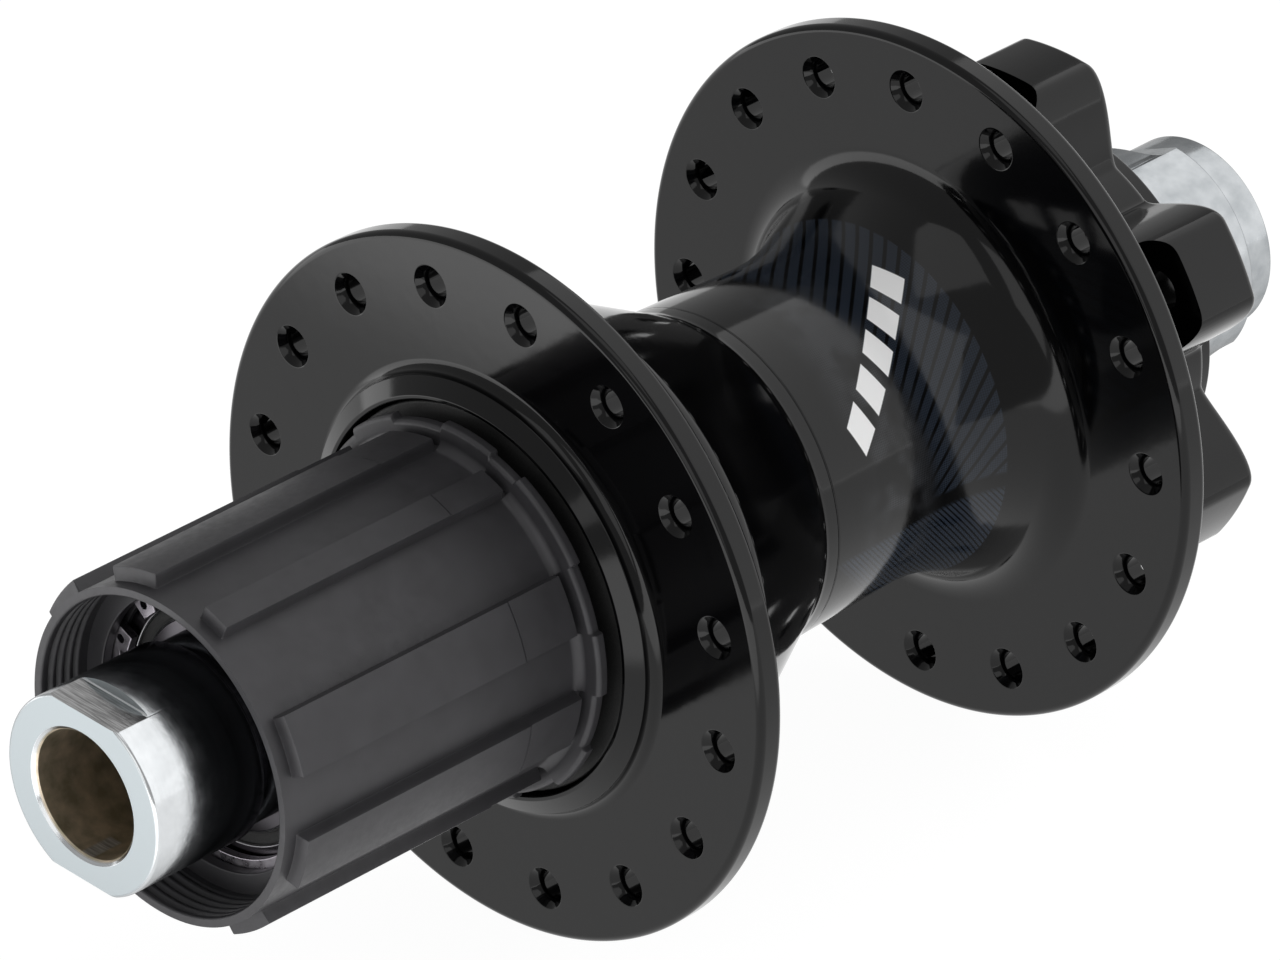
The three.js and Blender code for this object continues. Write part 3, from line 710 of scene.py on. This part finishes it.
def spoke_hole(back, face, angle):
    """A drilled hole whose countersink rolls over into the flange's outer face."""
    drill, wide = SPOKE_HOLE_RADIUS, SPOKE_HOLE_RADIUS + SPOKE_HOLE_LIP
    roll, past = 0.05, 0.6
    return spin_cutter("spoke_hole", [
        (back - past, drill + 3 * roll),
        (back - roll, drill + 3 * roll),
        (back + roll, drill),
        (face - SPOKE_HOLE_LIP, drill, SPOKE_HOLE_ROLL),
        (face - roll, wide - roll, 0.12),
        (face + roll, wide + 3 * roll),
        (face + past, wide + 3 * roll),
    ], polar(SPOKE_CIRCLE, angle), 40)


def lobe_pocket(angle):
    """The hollow behind one lobe, open outwards, with a rounded floor."""
    x0, x1 = POCKET_X
    half = POCKET_HALF_WIDTH
    rings = []
    for depth, inset in POCKET_LEVELS + [(FLANGE_RADIUS, 0.0)]:
        corner = POCKET_CORNER - inset
        ring = rounded([
            (x0 + inset, -half + inset, corner),
            (x1 - inset, -half + inset, corner),
            (x1 - inset, half - inset, corner),
            (x0 + inset, half - inset, corner),
        ])
        rings.append([turned(angle - 90) @ Vector((x, -y, POCKET_FLOOR + depth)) for x, y in ring])
    return stack("lobe_pocket", rings)


def hub_shell():
    """The forging: its turned section, the hollows behind the lobes, and its drilled holes."""
    columns = around(SHELL_COLUMNS)
    outlines = np.stack([shell_outline(lobe_radius(angle)) for angle in columns], axis=1)
    shell = skin("hub_shell_forging", outlines[:, :, 0], outlines[:, :, 1], columns)
    lobes = [LOBE_ANGLE + i * 360 / LOBES for i in range(LOBES)]
    combine(shell, [lobe_pocket(angle) for angle in lobes], "DIFFERENCE")
    past = 1.0
    bolt_hole = [
        (ROTOR_FACE - past, BOLT_RADIUS + BOLT_LEAD),
        (ROTOR_FACE, BOLT_RADIUS + BOLT_LEAD),
        (ROTOR_FACE + BOLT_LEAD, BOLT_RADIUS),
        (POCKET_X[0] + 1.5 * past, BOLT_RADIUS),
    ]
    holes = [spin_cutter("bolt_hole", bolt_hole, polar(BOLT_CIRCLE, angle)) for angle in lobes]
    for back, face, start in (
        (DRIVE_BACK, DRIVE_FACE, DRIVE_HOLE_ANGLE),
        (DISC_BACK, DISC_FACE, DISC_HOLE_ANGLE),
    ):
        holes += [spoke_hole(back, face, start + i * 360 / SPOKE_HOLES) for i in range(SPOKE_HOLES)]
    combine(shell, holes, "DIFFERENCE")
    return show(shell, "shell", "gloss_black_shell", SHELL_FINISH, "hub_shell")


# ---- freehub ----

NOSE_END, MOUTH, STOP_RING_RADIUS = span("freehub_body")
STOP_FACE = mount_x("cassette_stop_face")
SPLINES = 9
SPLINE_PITCH = 360 / SPLINES
SPLINE_ANGLE, SPLINE_WIDTH = 15, 19.5
KEY_SPLINE, KEY_CUT = 1, 9.5
SPLINE_ROOT, SPLINE_TOP = 15.9, 17.2
SPLINE_END = 60.5
RIB_STEP, RIB_STEP_DEPTH = 33.5, 0.1
RING_BACK, RING_BACK_ROUND = 25.2, 0.25
RING_WAIST = 17.8
RIB_SLOT_END, RIB_SLOT_RADIUS = 27.1, 16.0
NOSE_RADIUS, NOSE_BORE, FREEHUB_SEAT = 15.2, 10.9, 13.05
MOUTH_BORE, MOUTH_STEP = 15.0, 56.6
MOUTH_EDGE = 0.4
RING_ROUND, RING_FILLET = 0.45, 1.0
THREAD_PITCH, THREAD_DEPTH = 1.0, 0.38
THREAD_X = (57.4, 61.6)
THREAD_STEP, THREAD_SHARPNESS = 0.09, 2.4
INBOARD_STOP = 22.0
CLIP_GROOVE = (54.45, 55.55, 13.7)
WALL_X = 0.26
WALL_ANGLE = 0.75
WALL_STEPS = 6
STEP_ALONG, STEP_ROUND = 3.0, 1.6
GAP_INSET = 0.5
PAWLS = 4
PAWL_X = (14.3, 20.1)
PAWL_GAP = 0.3
# One pawl's pocket, seen along the axle.
PAWL_POCKET = [
    (7.6, 16.2),
    (-1.6, 16.2),
    (-1.6, 11.6, 1.55),
    (1.6, 11.6, 0.4),
    (3.0, 11.2),
    (6.8, 10.8),
    (7.6, 11.4),
]


def spline_ranges():
    """Start and end angle of each spline; the key spline is narrow."""
    starts = [SPLINE_ANGLE + i * SPLINE_PITCH for i in range(SPLINES)]
    cuts = [KEY_CUT if i == KEY_SPLINE else 0 for i in range(SPLINES)]
    return [(start + cut, start + SPLINE_WIDTH) for start, cut in zip(starts, cuts)]


def samples(low, high, walls, edge, step):
    """Sorted sample places: even steps, with close ones through each wall."""
    near = [w + edge * (k / WALL_STEPS - 0.5) for w in walls for k in range(WALL_STEPS + 1)]
    clear = [v for v in np.arange(low, high, step) if all(abs(v - w) > 0.6 * edge for w in walls)]
    return np.array(sorted(near + clear))


def sectors(theta, ranges, inset=0.0):
    """1 inside any of the (start, end) angle ranges, drawn in by an inset."""
    inside = np.zeros_like(theta)
    for start, end in ranges:
        for turn in (-360, 0, 360):
            inside += window(theta, start + inset + turn, end - inset + turn, WALL_ANGLE)
    return inside


def freehub_relief(x, theta):
    """Radius of the cassette body's outside: splines, stop ring, and the slots between them."""
    x, theta = np.meshgrid(x, theta, indexing="ij")
    splines = spline_ranges()
    gaps = [(end, splines[(i + 1) % SPLINES][0]) for i, (_, end) in enumerate(splines)]
    gaps = [(start, end + (360 if end < start else 0)) for start, end in gaps]
    rib, gap = sectors(theta, splines), sectors(theta, gaps, inset=GAP_INSET)
    before_step = smoothstep((RIB_STEP - x) / WALL_X + 0.5)
    rib_height = SPLINE_TOP - SPLINE_ROOT - RIB_STEP_DEPTH * before_step
    rib_length = window(x, RIB_SLOT_END, SPLINE_END, WALL_X)
    slot_floor = (RIB_SLOT_RADIUS - SPLINE_ROOT) * smoothstep((RIB_SLOT_END - x) / WALL_X + 0.5)
    ring = RING_WAIST + (STOP_RING_RADIUS - RING_WAIST) * gap
    corner = np.clip((x - STOP_FACE + RING_ROUND) / RING_ROUND, 0, 1)
    ring = ring - RING_ROUND * (1 - np.sqrt(1 - corner * corner))
    radius = SPLINE_ROOT + rib * (rib_height * rib_length + slot_floor)
    fillet = np.clip((STOP_FACE + RING_FILLET - x) / RING_FILLET, 0, 1)
    fillet_rise = RING_FILLET * (1 - np.sqrt(1 - fillet * fillet)) * (1 - rib)
    radius = np.maximum(radius, SPLINE_ROOT + fillet_rise)
    return np.where(x > STOP_FACE + 1e-6, radius, ring)


def thread_relief(x, theta):
    """Radius of the mouth's internal thread."""
    x, theta = np.meshgrid(x, theta, indexing="ij")
    turn = (x / THREAD_PITCH - theta / 360) % 1
    ridge = smoothstep(1 - np.abs(turn - 0.5) * THREAD_SHARPNESS)
    return MOUTH_BORE + THREAD_DEPTH * ridge * window(x, *THREAD_X, 0.5)


def freehub_places():
    """Sample places for the cassette body's outside: along the axle, and round it."""
    edges = [angle for pair in spline_ranges() for angle in pair]
    walls = [angle + off for angle in edges for off in (0, GAP_INSET, -GAP_INSET)]
    theta = np.mod(samples(0, 360, walls, WALL_ANGLE, STEP_ROUND), 360)
    steps = [RIB_SLOT_END, RIB_STEP, SPLINE_END]
    start, end = RING_BACK + RING_BACK_ROUND, MOUTH - MOUTH_EDGE
    even = samples(start, end, steps, WALL_X, STEP_ALONG)
    round_steps = np.sin(np.linspace(0, pi / 2, 6))
    ring_corner = STOP_FACE - RING_ROUND + RING_ROUND * round_steps
    ring_foot = STOP_FACE + RING_FILLET - RING_FILLET * round_steps
    x = np.concatenate([even, ring_corner, ring_foot, [STOP_FACE + 2e-3]])
    return np.unique(np.round(x, 3)), np.unique(np.round(theta, 3))


def freehub_body():
    """The cassette body, row by row: nose, splined outside, threaded mouth and bearing seats."""
    outside, theta = freehub_places()
    thread = np.arange(MOUTH_STEP + 0.1, MOUTH - 0.35, THREAD_STEP)
    relief = freehub_relief(outside, theta)
    rows = []

    def add(x, radius):
        rows.append((np.full(theta.shape, x), np.broadcast_to(radius, theta.shape)))

    def add_profile(corners):
        for x, radius in rounded(corners, closed=False):
            add(x, radius)

    add_profile([
        (INBOARD_STOP, NOSE_BORE),
        (NOSE_END, NOSE_BORE, 0.2),
        (NOSE_END, NOSE_RADIUS, 0.3),
        (RING_BACK, NOSE_RADIUS),
        (RING_BACK, NOSE_RADIUS + 0.2),
    ])
    for step in (RING_BACK_ROUND, 0.14, 0.05, 0.0):
        rise = np.sqrt(max(0.0, RING_BACK_ROUND ** 2 - step * step))
        add(RING_BACK + RING_BACK_ROUND - step, relief[0] - (RING_BACK_ROUND - rise))
    for x, radius in zip(outside, relief):
        add(x, radius)
    add_profile([
        (MOUTH, SPLINE_ROOT),
        (MOUTH, MOUTH_BORE + 0.1, 0.25),
        (MOUTH - MOUTH_EDGE, MOUTH_BORE),
    ])
    for x, radius in reversed(list(zip(thread, thread_relief(thread, theta)))):
        add(x, radius)
    groove_start, groove_end, groove_radius = CLIP_GROOVE
    add_profile([
        (MOUTH_STEP, MOUTH_BORE),
        (MOUTH_STEP, FREEHUB_SEAT, 0.15),
        (groove_end, FREEHUB_SEAT),
        (groove_end, groove_radius),
        (groove_start, groove_radius),
        (groove_start, FREEHUB_SEAT),
        (INBOARD_STOP, FREEHUB_SEAT),
    ])
    x, r = [np.stack(column) for column in zip(*rows)]
    body = skin("freehub_casting", x, r, theta)
    start, end = PAWL_X[0] - PAWL_GAP, PAWL_X[1] + PAWL_GAP
    pocket = rounded(PAWL_POCKET)
    pockets = [prism("pocket", pocket, start, end, angle=i * 360 / PAWLS) for i in range(PAWLS)]
    combine(body, pockets, "DIFFERENCE")
    return show(body, "freehub", "grey_freehub", FREEHUB_FINISH, "freehub_body")


CLIP_INNER, CLIP_OUTER, CLIP_EAR = 12.2, 13.6, 11.4
CLIP_GAP_ANGLE, CLIP_GAP_HALF, CLIP_EAR_WIDTH = 147, 8, 10
PLIER_HOLE_CIRCLE, PLIER_HOLE_RADIUS = 12.5, 0.45


def freehub_circlip():
    """The snap ring's C shape, with an ear and a plier hole at each end."""
    start, end = CLIP_GAP_ANGLE + CLIP_GAP_HALF, CLIP_GAP_ANGLE + 360 - CLIP_GAP_HALF
    ear_start, ear_end = start + CLIP_EAR_WIDTH, end - CLIP_EAR_WIDTH
    arcs = [
        (CLIP_OUTER, start, end, 120),
        (CLIP_EAR, end, ear_end, 5),
        (CLIP_INNER, ear_end - 1, ear_start + 1, 110),
        (CLIP_EAR, ear_start, start, 5),
    ]
    outline = [polar(radius, a) for radius, a0, a1, n in arcs for a in np.linspace(a0, a1, n)]
    x0, x1, _ = span("freehub_circlip")
    clip = prism("snap_ring", outline, x0, x1, edge=0.12)
    hole = [(x0 - 1, PLIER_HOLE_RADIUS), (x1 + 1, PLIER_HOLE_RADIUS)]
    holes = [spin_cutter("plier_hole", hole, polar(PLIER_HOLE_CIRCLE, angle), 16)
             for angle in (start + CLIP_EAR_WIDTH / 2, end - CLIP_EAR_WIDTH / 2)]
    combine(clip, holes, "DIFFERENCE")
    return show(clip, "freehub", "spring_steel", SPRING, "freehub_circlip")


# ---- ratchet ----

TEETH = 24
TOOTH_PITCH = 360 / TEETH
TOOTH_TIP, TOOTH_ROOT, TOOTH_LAND = 15.7, 17, 1.2
FIRST_TOOTH = 66.2
TOOTH_EDGE = 0.05


def ratchet_ring():
    """Saw teeth inside a plain ring: each has a radial driving face and a ramp the other way."""
    theta, inside = [], []
    for i in range(TEETH):
        face = FIRST_TOOTH + i * TOOTH_PITCH
        ramp = TOOTH_PITCH - TOOTH_LAND
        for t in np.linspace(0, 1, 7):
            theta.append(face + TOOTH_EDGE + t * (ramp - TOOTH_EDGE))
            inside.append(TOOTH_ROOT + t * (TOOTH_TIP - TOOTH_ROOT))
        theta.append(face + TOOTH_PITCH - TOOTH_EDGE)
        inside.append(TOOTH_TIP)
    inside = np.array(inside)
    x0, x1, outer = span("ratchet_ring")
    chamfer = 0.2
    outside = np.full_like(inside, outer)
    x = np.array([x0 + chamfer, x0, x0, x0 + chamfer, x1 - chamfer, x1, x1, x1 - chamfer])[:, None]
    half = [inside, inside + chamfer, outside - chamfer, outside]
    r = np.stack(half + half[::-1])
    ring = skin("ratchet_teeth", x, r, theta)
    return show(ring, "shell", "bearing_steel", STEEL, "ratchet_ring")


# ---- bearings ----

RACE_BORE = 8.5
TRACK_REACH, TRACK_WRAP = 1.05, 0.9
CAGE_HALF_WIDTH, CAGE_HALF_DEPTH = 0.45, 0.25
# Name: outer body, ball body, ball radius, number of balls.
BEARINGS = {
    "shell_drive_bearing": ("shell", "shell_drive_balls", 1.75, 9),
    "shell_disc_bearing": ("shell", "shell_disc_balls", 1.75, 9),
    "freehub_inboard_bearing": ("freehub", "freehub_inboard_balls", 1.2, 10),
    "freehub_outboard_bearing": ("freehub", "freehub_outboard_balls", 1.2, 10),
}


def race(name, x0, x1, bore, shoulder, bottom, ball):
    """A bearing race: a ring whose shoulder side has a round track at its middle."""
    middle = (x0 + x1) / 2
    side = 1 if shoulder > bore else -1
    track = []
    for t in np.linspace(-1, 1, 13):
        drop = ball - ball * np.sqrt(1 - (TRACK_WRAP * t) ** 2)
        track.append((middle + ball * TRACK_REACH * t, bottom + side * drop * TRACK_WRAP))
    ends = [[(x, shoulder, 0.2), (x, bore, 0.25)] for x in (x0, x1)]
    return revolve(name, ends[0][::-1] + track + ends[1])


def ball_set(name, x, pitch, ball, count):
    """Balls held by a thin cage ring."""
    wide, deep = ball * CAGE_HALF_WIDTH, ball * CAGE_HALF_DEPTH
    cage = revolve(name, [
        (x - wide, pitch - deep, 0.1),
        (x - wide, pitch + deep, 0.1),
        (x + wide, pitch + deep, 0.1),
        (x + wide, pitch - deep, 0.1),
    ])
    balls = []
    for i in range(count):
        y, z = polar(pitch, i * 360 / count)
        bm = bmesh.new()
        bmesh.ops.create_uvsphere(bm, u_segments=32, v_segments=18, radius=ball * MM)
        bmesh.ops.translate(bm, verts=bm.verts, vec=Vector((x, y, z)) * MM)
        mesh = bpy.data.meshes.new("ball")
        bm.to_mesh(mesh)
        bm.free()
        balls.append(linked("ball", mesh))
    return combine(cage, balls, "UNION")


def bearing(name, body, ball_body, ball, count):
    """Both races, the balls and the seal of one bearing."""
    x0, x1, outer = span(f"{name}_outer_race")
    pitch = (RACE_BORE + outer) / 2
    inner_shoulder, outer_shoulder = pitch - ball / 2, pitch + ball / 2
    clear = ball * 1.02
    inner = race(f"{name}_cone", x0, x1, RACE_BORE + 0.02, inner_shoulder, pitch - clear, ball)
    show(inner, "axle", "bearing_steel", STEEL, f"{name}_inner_race")
    cup = race(f"{name}_cup", x0, x1, outer, outer_shoulder, pitch + clear, ball)
    show(cup, body, "bearing_steel", STEEL, f"{name}_outer_race")
    balls = ball_set(f"{name}_ball_cage", (x0 + x1) / 2, pitch, ball, count)
    show(balls, ball_body, "bearing_steel", STEEL, f"{name}_balls")
    s0, s1, s_outer = span(f"{name}_seal")
    dish, lip = 0.12, inner_shoulder + 0.2
    seal = revolve(f"{name}_shield", [
        (s0, lip, 0.1),
        (s0, s_outer, 0.1),
        (s1, s_outer, 0.1),
        (s1, pitch + 0.6),
        (s1 - dish, pitch + 0.5),
        (s1 - dish, pitch - 0.5),
        (s1, pitch - 0.6),
        (s1, lip, 0.1),
    ])
    show(seal, body, "seal_rubber", RUBBER, f"{name}_seal")


# ---- axle, end caps, spacers and seals ----

DRIVE_END = mount_x("drive_dropout_face")
DISC_END = mount_x("disc_dropout_face")
CAP_RADIUS = 9.5
THRU_AXLE_BORE = 6.1
CAP_COUNTERBORE = 7.5
GROOVE_DEPTH, GROOVE_WIDTH = 0.8, 1.2
BORE_CHAMFER = 0.45
OUTER_SPACER_BORE = 11.7


def cap_bore(side, inner_end, groove_start, counterbore_end, end):
    """Inside of an end cap, from its inner end to the dropout face."""
    groove = CAP_COUNTERBORE + GROOVE_DEPTH
    return [
        (inner_end, CAP_COUNTERBORE, 0.15),
        (groove_start, CAP_COUNTERBORE),
        (groove_start, groove, 0.1),
        (groove_start + side * GROOVE_WIDTH, groove, 0.1),
        (groove_start + side * GROOVE_WIDTH, CAP_COUNTERBORE),
        (counterbore_end, CAP_COUNTERBORE),
        (counterbore_end, THRU_AXLE_BORE, 0.2),
        (end - side * BORE_CHAMFER, THRU_AXLE_BORE, 0.1),
        (end, THRU_AXLE_BORE + BORE_CHAMFER, 0.12),
        (end, CAP_RADIUS, 0.35),
    ]


def flat_cutter(x0, x1, distance, runout, angle):
    """A block that mills one flat from x0 outwards; the cutter's radius is left at x0."""
    reach = CAP_RADIUS * 2
    low, high = sorted((x0, x1))
    corners = [(low, distance), (high, distance), (high, distance + reach), (low, distance + reach)]
    corners[0 if x0 == low else 1] += (runout,)
    profile = rounded(corners)
    turn = turned(angle - 90)
    rings = [[turn @ Vector((x, y, z)) for x, z in profile] for y in (-reach, reach)]
    return stack("flat_cutter", rings)


def drive_end_cap():
    inner, _, _ = span("drive_end_cap")
    groove, counterbore_end, body_start, neck = 56.3, 60.2, 58.2, 8.9
    cap = revolve("drive_cap_turning", [
        *cap_bore(1, inner, groove, counterbore_end, DRIVE_END),
        (body_start, CAP_RADIUS, 0.4),
        (body_start, neck),
        (inner, neck, 0.2),
    ], 256)
    to_flat, runout, angles = 8.5, 0.25, (88, 268)
    flats = [flat_cutter(DRIVE_FLAT_START, DRIVE_END + 2, to_flat, runout, a) for a in angles]
    combine(cap, flats, "DIFFERENCE")
    return show(cap, "axle", "silver_alloy", SILVER, "drive_end_cap")


def disc_end_cap():
    _, inner, _ = span("disc_end_cap")
    groove, counterbore_end = -54.4, -58.2
    shoulder, neck_end, body, neck = -66.6, -55.0, 11.2, 9.8
    cap = revolve("disc_cap_turning", [
        *cap_bore(-1, inner, groove, counterbore_end, DISC_END),
        (shoulder, CAP_RADIUS, 0.25),
        (shoulder, body, 0.35),
        (neck_end, body, 0.3),
        (neck_end, neck),
        (inner, neck, 0.2),
    ], 256)
    flat_start, to_flat, runout, angles = -62.6, 9.6, 2.2, (114, 294)
    flats = [flat_cutter(flat_start, shoulder - 6, to_flat, runout, a) for a in angles]
    combine(cap, flats, "DIFFERENCE")
    return show(cap, "axle", "silver_alloy", SILVER, "disc_end_cap")


def axle_tube():
    start, end, _ = span("axle_tube")
    bore, journal, seat, shoulder = 6.2, 7.4, 8.4, 10.0
    disc_seat, drive_seat = -52.4, 54.2
    tube = revolve("axle_turning", [
        (start, bore, 0.25),
        (start, journal, 0.3),
        (disc_seat, journal, 0.2),
        (disc_seat, seat, 0.2),
        (DISC_SEAT_STEP - 0.1, seat),
        (DISC_SEAT_STEP - 0.1, shoulder, 0.2),
        (DRIVE_SEAT_STEP + 0.1, shoulder, 0.2),
        (DRIVE_SEAT_STEP + 0.1, seat),
        (drive_seat, seat, 0.2),
        (drive_seat, journal, 0.2),
        (end, journal, 0.3),
        (end, bore, 0.25),
    ])
    return show(tube, "axle", "dark_alloy", AXLE_FINISH, "axle_tube")


def spacer(node, bore, body):
    """A plain turned ring with eased edges."""
    x0, x1, outer = span(node)
    ring = revolve(f"{node}_turning", [
        (x0, bore, 0.2),
        (x0, outer, 0.25),
        (x1, outer, 0.25),
        (x1, bore, 0.2),
    ])
    return show(ring, body, "silver_alloy", SILVER, node)


def o_ring(node):
    x0, x1, outer = span(node)
    middle, section = (x0 + x1) / 2, (x1 - x0) / 2
    circle = [polar(section, angle) for angle in range(0, 360, 20)]
    ring = revolve(f"{node}_moulding", [(middle + y, outer - section + z) for y, z in circle])
    return show(ring, "axle", "seal_rubber", RUBBER, node)


def lip_seal():
    back, edge, outer = span("freehub_lip_seal")
    back_bore, lip_bore, lip_width = 16.4, 15.6, 1.0
    seal = revolve("lip_seal_moulding", [
        (back, back_bore, 0.1),
        (back, outer, 0.15),
        (edge, outer, 0.2),
        (edge, lip_bore, 0.12),
        (edge - lip_width, lip_bore, 0.12),
    ])
    return show(seal, "shell", "seal_rubber", RUBBER, "freehub_lip_seal")


def dust_seal():
    x0, x1, outer = span("disc_side_dust_seal")
    bore, step, rim, step_depth = 10.1, 12.0, 12.6, 0.3
    seal = revolve("dust_seal_moulding", [
        (x0 + step_depth, bore, 0.1),
        (x0 + step_depth, step, 0.2),
        (x0, rim, 0.2),
        (x0, outer, 0.25),
        (x1, outer, 0.2),
        (x1, bore, 0.1),
    ])
    return show(seal, "shell", "seal_rubber", RUBBER, "disc_side_dust_seal")


# ---- the hub ----

def finish_flat_nodes():
    """Pawls and springs are plain prisms in the CAD too, so they stay and take their finishes."""
    for i in range(1, PAWLS + 1):
        for node, finish in ((f"pawl_{i}", STEEL), (f"pawl_spring_{i}", SPRING)):
            for slot in frame["nodes"][node].material_slots:
                slot.material = finish


def build_hub():
    hub_shell()
    freehub_body()
    freehub_circlip()
    ratchet_ring()
    for name, facts in BEARINGS.items():
        bearing(name, *facts)
    drive_end_cap()
    disc_end_cap()
    axle_tube()
    spacer("shell_to_freehub_spacer", RACE_BORE, "axle")
    spacer("freehub_inner_spacer", RACE_BORE, "axle")
    spacer("freehub_outer_spacer", OUTER_SPACER_BORE, "freehub")
    o_ring("drive_cap_o_ring")
    o_ring("disc_cap_o_ring")
    lip_seal()
    dust_seal()
    finish_flat_nodes()


# ---- studio and camera ----

FLOOR_HALF = 3.0
FLOOR_GAP = 0.0004
# The floor glows brighter beyond the drive side, where the flange faces mirror it.
GLOW_X, GLOW = (85.0, 105.0), (0.96, 2.1)
SKY = 0.42
# Place in metres, width, height and power of each soft box.
LIGHTS = {
    "key_box": ((-1.0, 0.4, 0.66), 2.5, 1.7, 11.6),
    "top_box": ((0.2, 0.1, 1.4), 0.9, 0.9, 1.8),
    "side_box": ((1.3, 0.4, 0.55), 1.0, 0.8, 2.2),
}
CAMERA_PLACE = (0.62375, 0.61895, 0.51482)
CAMERA_TARGET = (0.000787, -0.002167, 0.001667)
CAMERA_LENS, CAMERA_SENSOR = 318.46, 36.0


def studio_floor():
    """A pale floor that glows evenly near the hub, as on a light table; beyond the drive side it
    has a brighter painted glow.
    """
    level = cad_low.z - FLOOR_GAP
    signs = ((-1, -1), (1, -1), (1, 1), (-1, 1))
    corners = [(x * FLOOR_HALF, y * FLOOR_HALF, level) for x, y in signs]
    floor = linked("studio_floor", plain_mesh("studio_floor", corners, [(0, 1, 2, 3)]))
    shader = Shader("pale_floor", Roughness=0.8, Base_Color=grey(0.1), Emission_Color=grey(1.0),
                    Specular_IOR_Level=0.0)
    glow = shader.ranged(shader.x, *GLOW_X, *GLOW, smooth=True)
    shader.links.new(glow, shader.surface.inputs["Emission Strength"])
    floor.data.materials.append(shader.material)


def aimed(name, data, place, target=(0, 0, 0)):
    """An object that looks from its place at the target."""
    obj = linked(name, data)
    obj.location = place
    towards = Vector(target) - Vector(place)
    obj.rotation_euler = towards.to_track_quat("-Z", "Y").to_euler()
    return obj


def soft_light(name, place, width, height, power):
    """A soft box that faces the hub."""
    light = bpy.data.lights.new(name, "AREA")
    light.shape = "RECTANGLE"
    light.size = width
    light.size_y = height
    light.energy = power
    aimed(name, light, place)


def studio():
    world = bpy.data.worlds.new("studio")
    world.use_nodes = True
    sky = world.node_tree.nodes["Background"]
    sky.inputs["Color"].default_value = grey(1.0)
    sky.inputs["Strength"].default_value = SKY
    bpy.context.scene.world = world
    studio_floor()
    for name, facts in LIGHTS.items():
        soft_light(name, *facts)
    bpy.context.scene.view_settings.view_transform = "Standard"


def camera():
    """The photograph's camera: a long lens from the drive side, above and ahead of the hub."""
    data = bpy.data.cameras.new("camera")
    data.sensor_width = CAMERA_SENSOR
    data.lens = CAMERA_LENS
    bpy.context.scene.camera = aimed("camera", data, CAMERA_PLACE, CAMERA_TARGET)


camera()
build_hub()
studio()
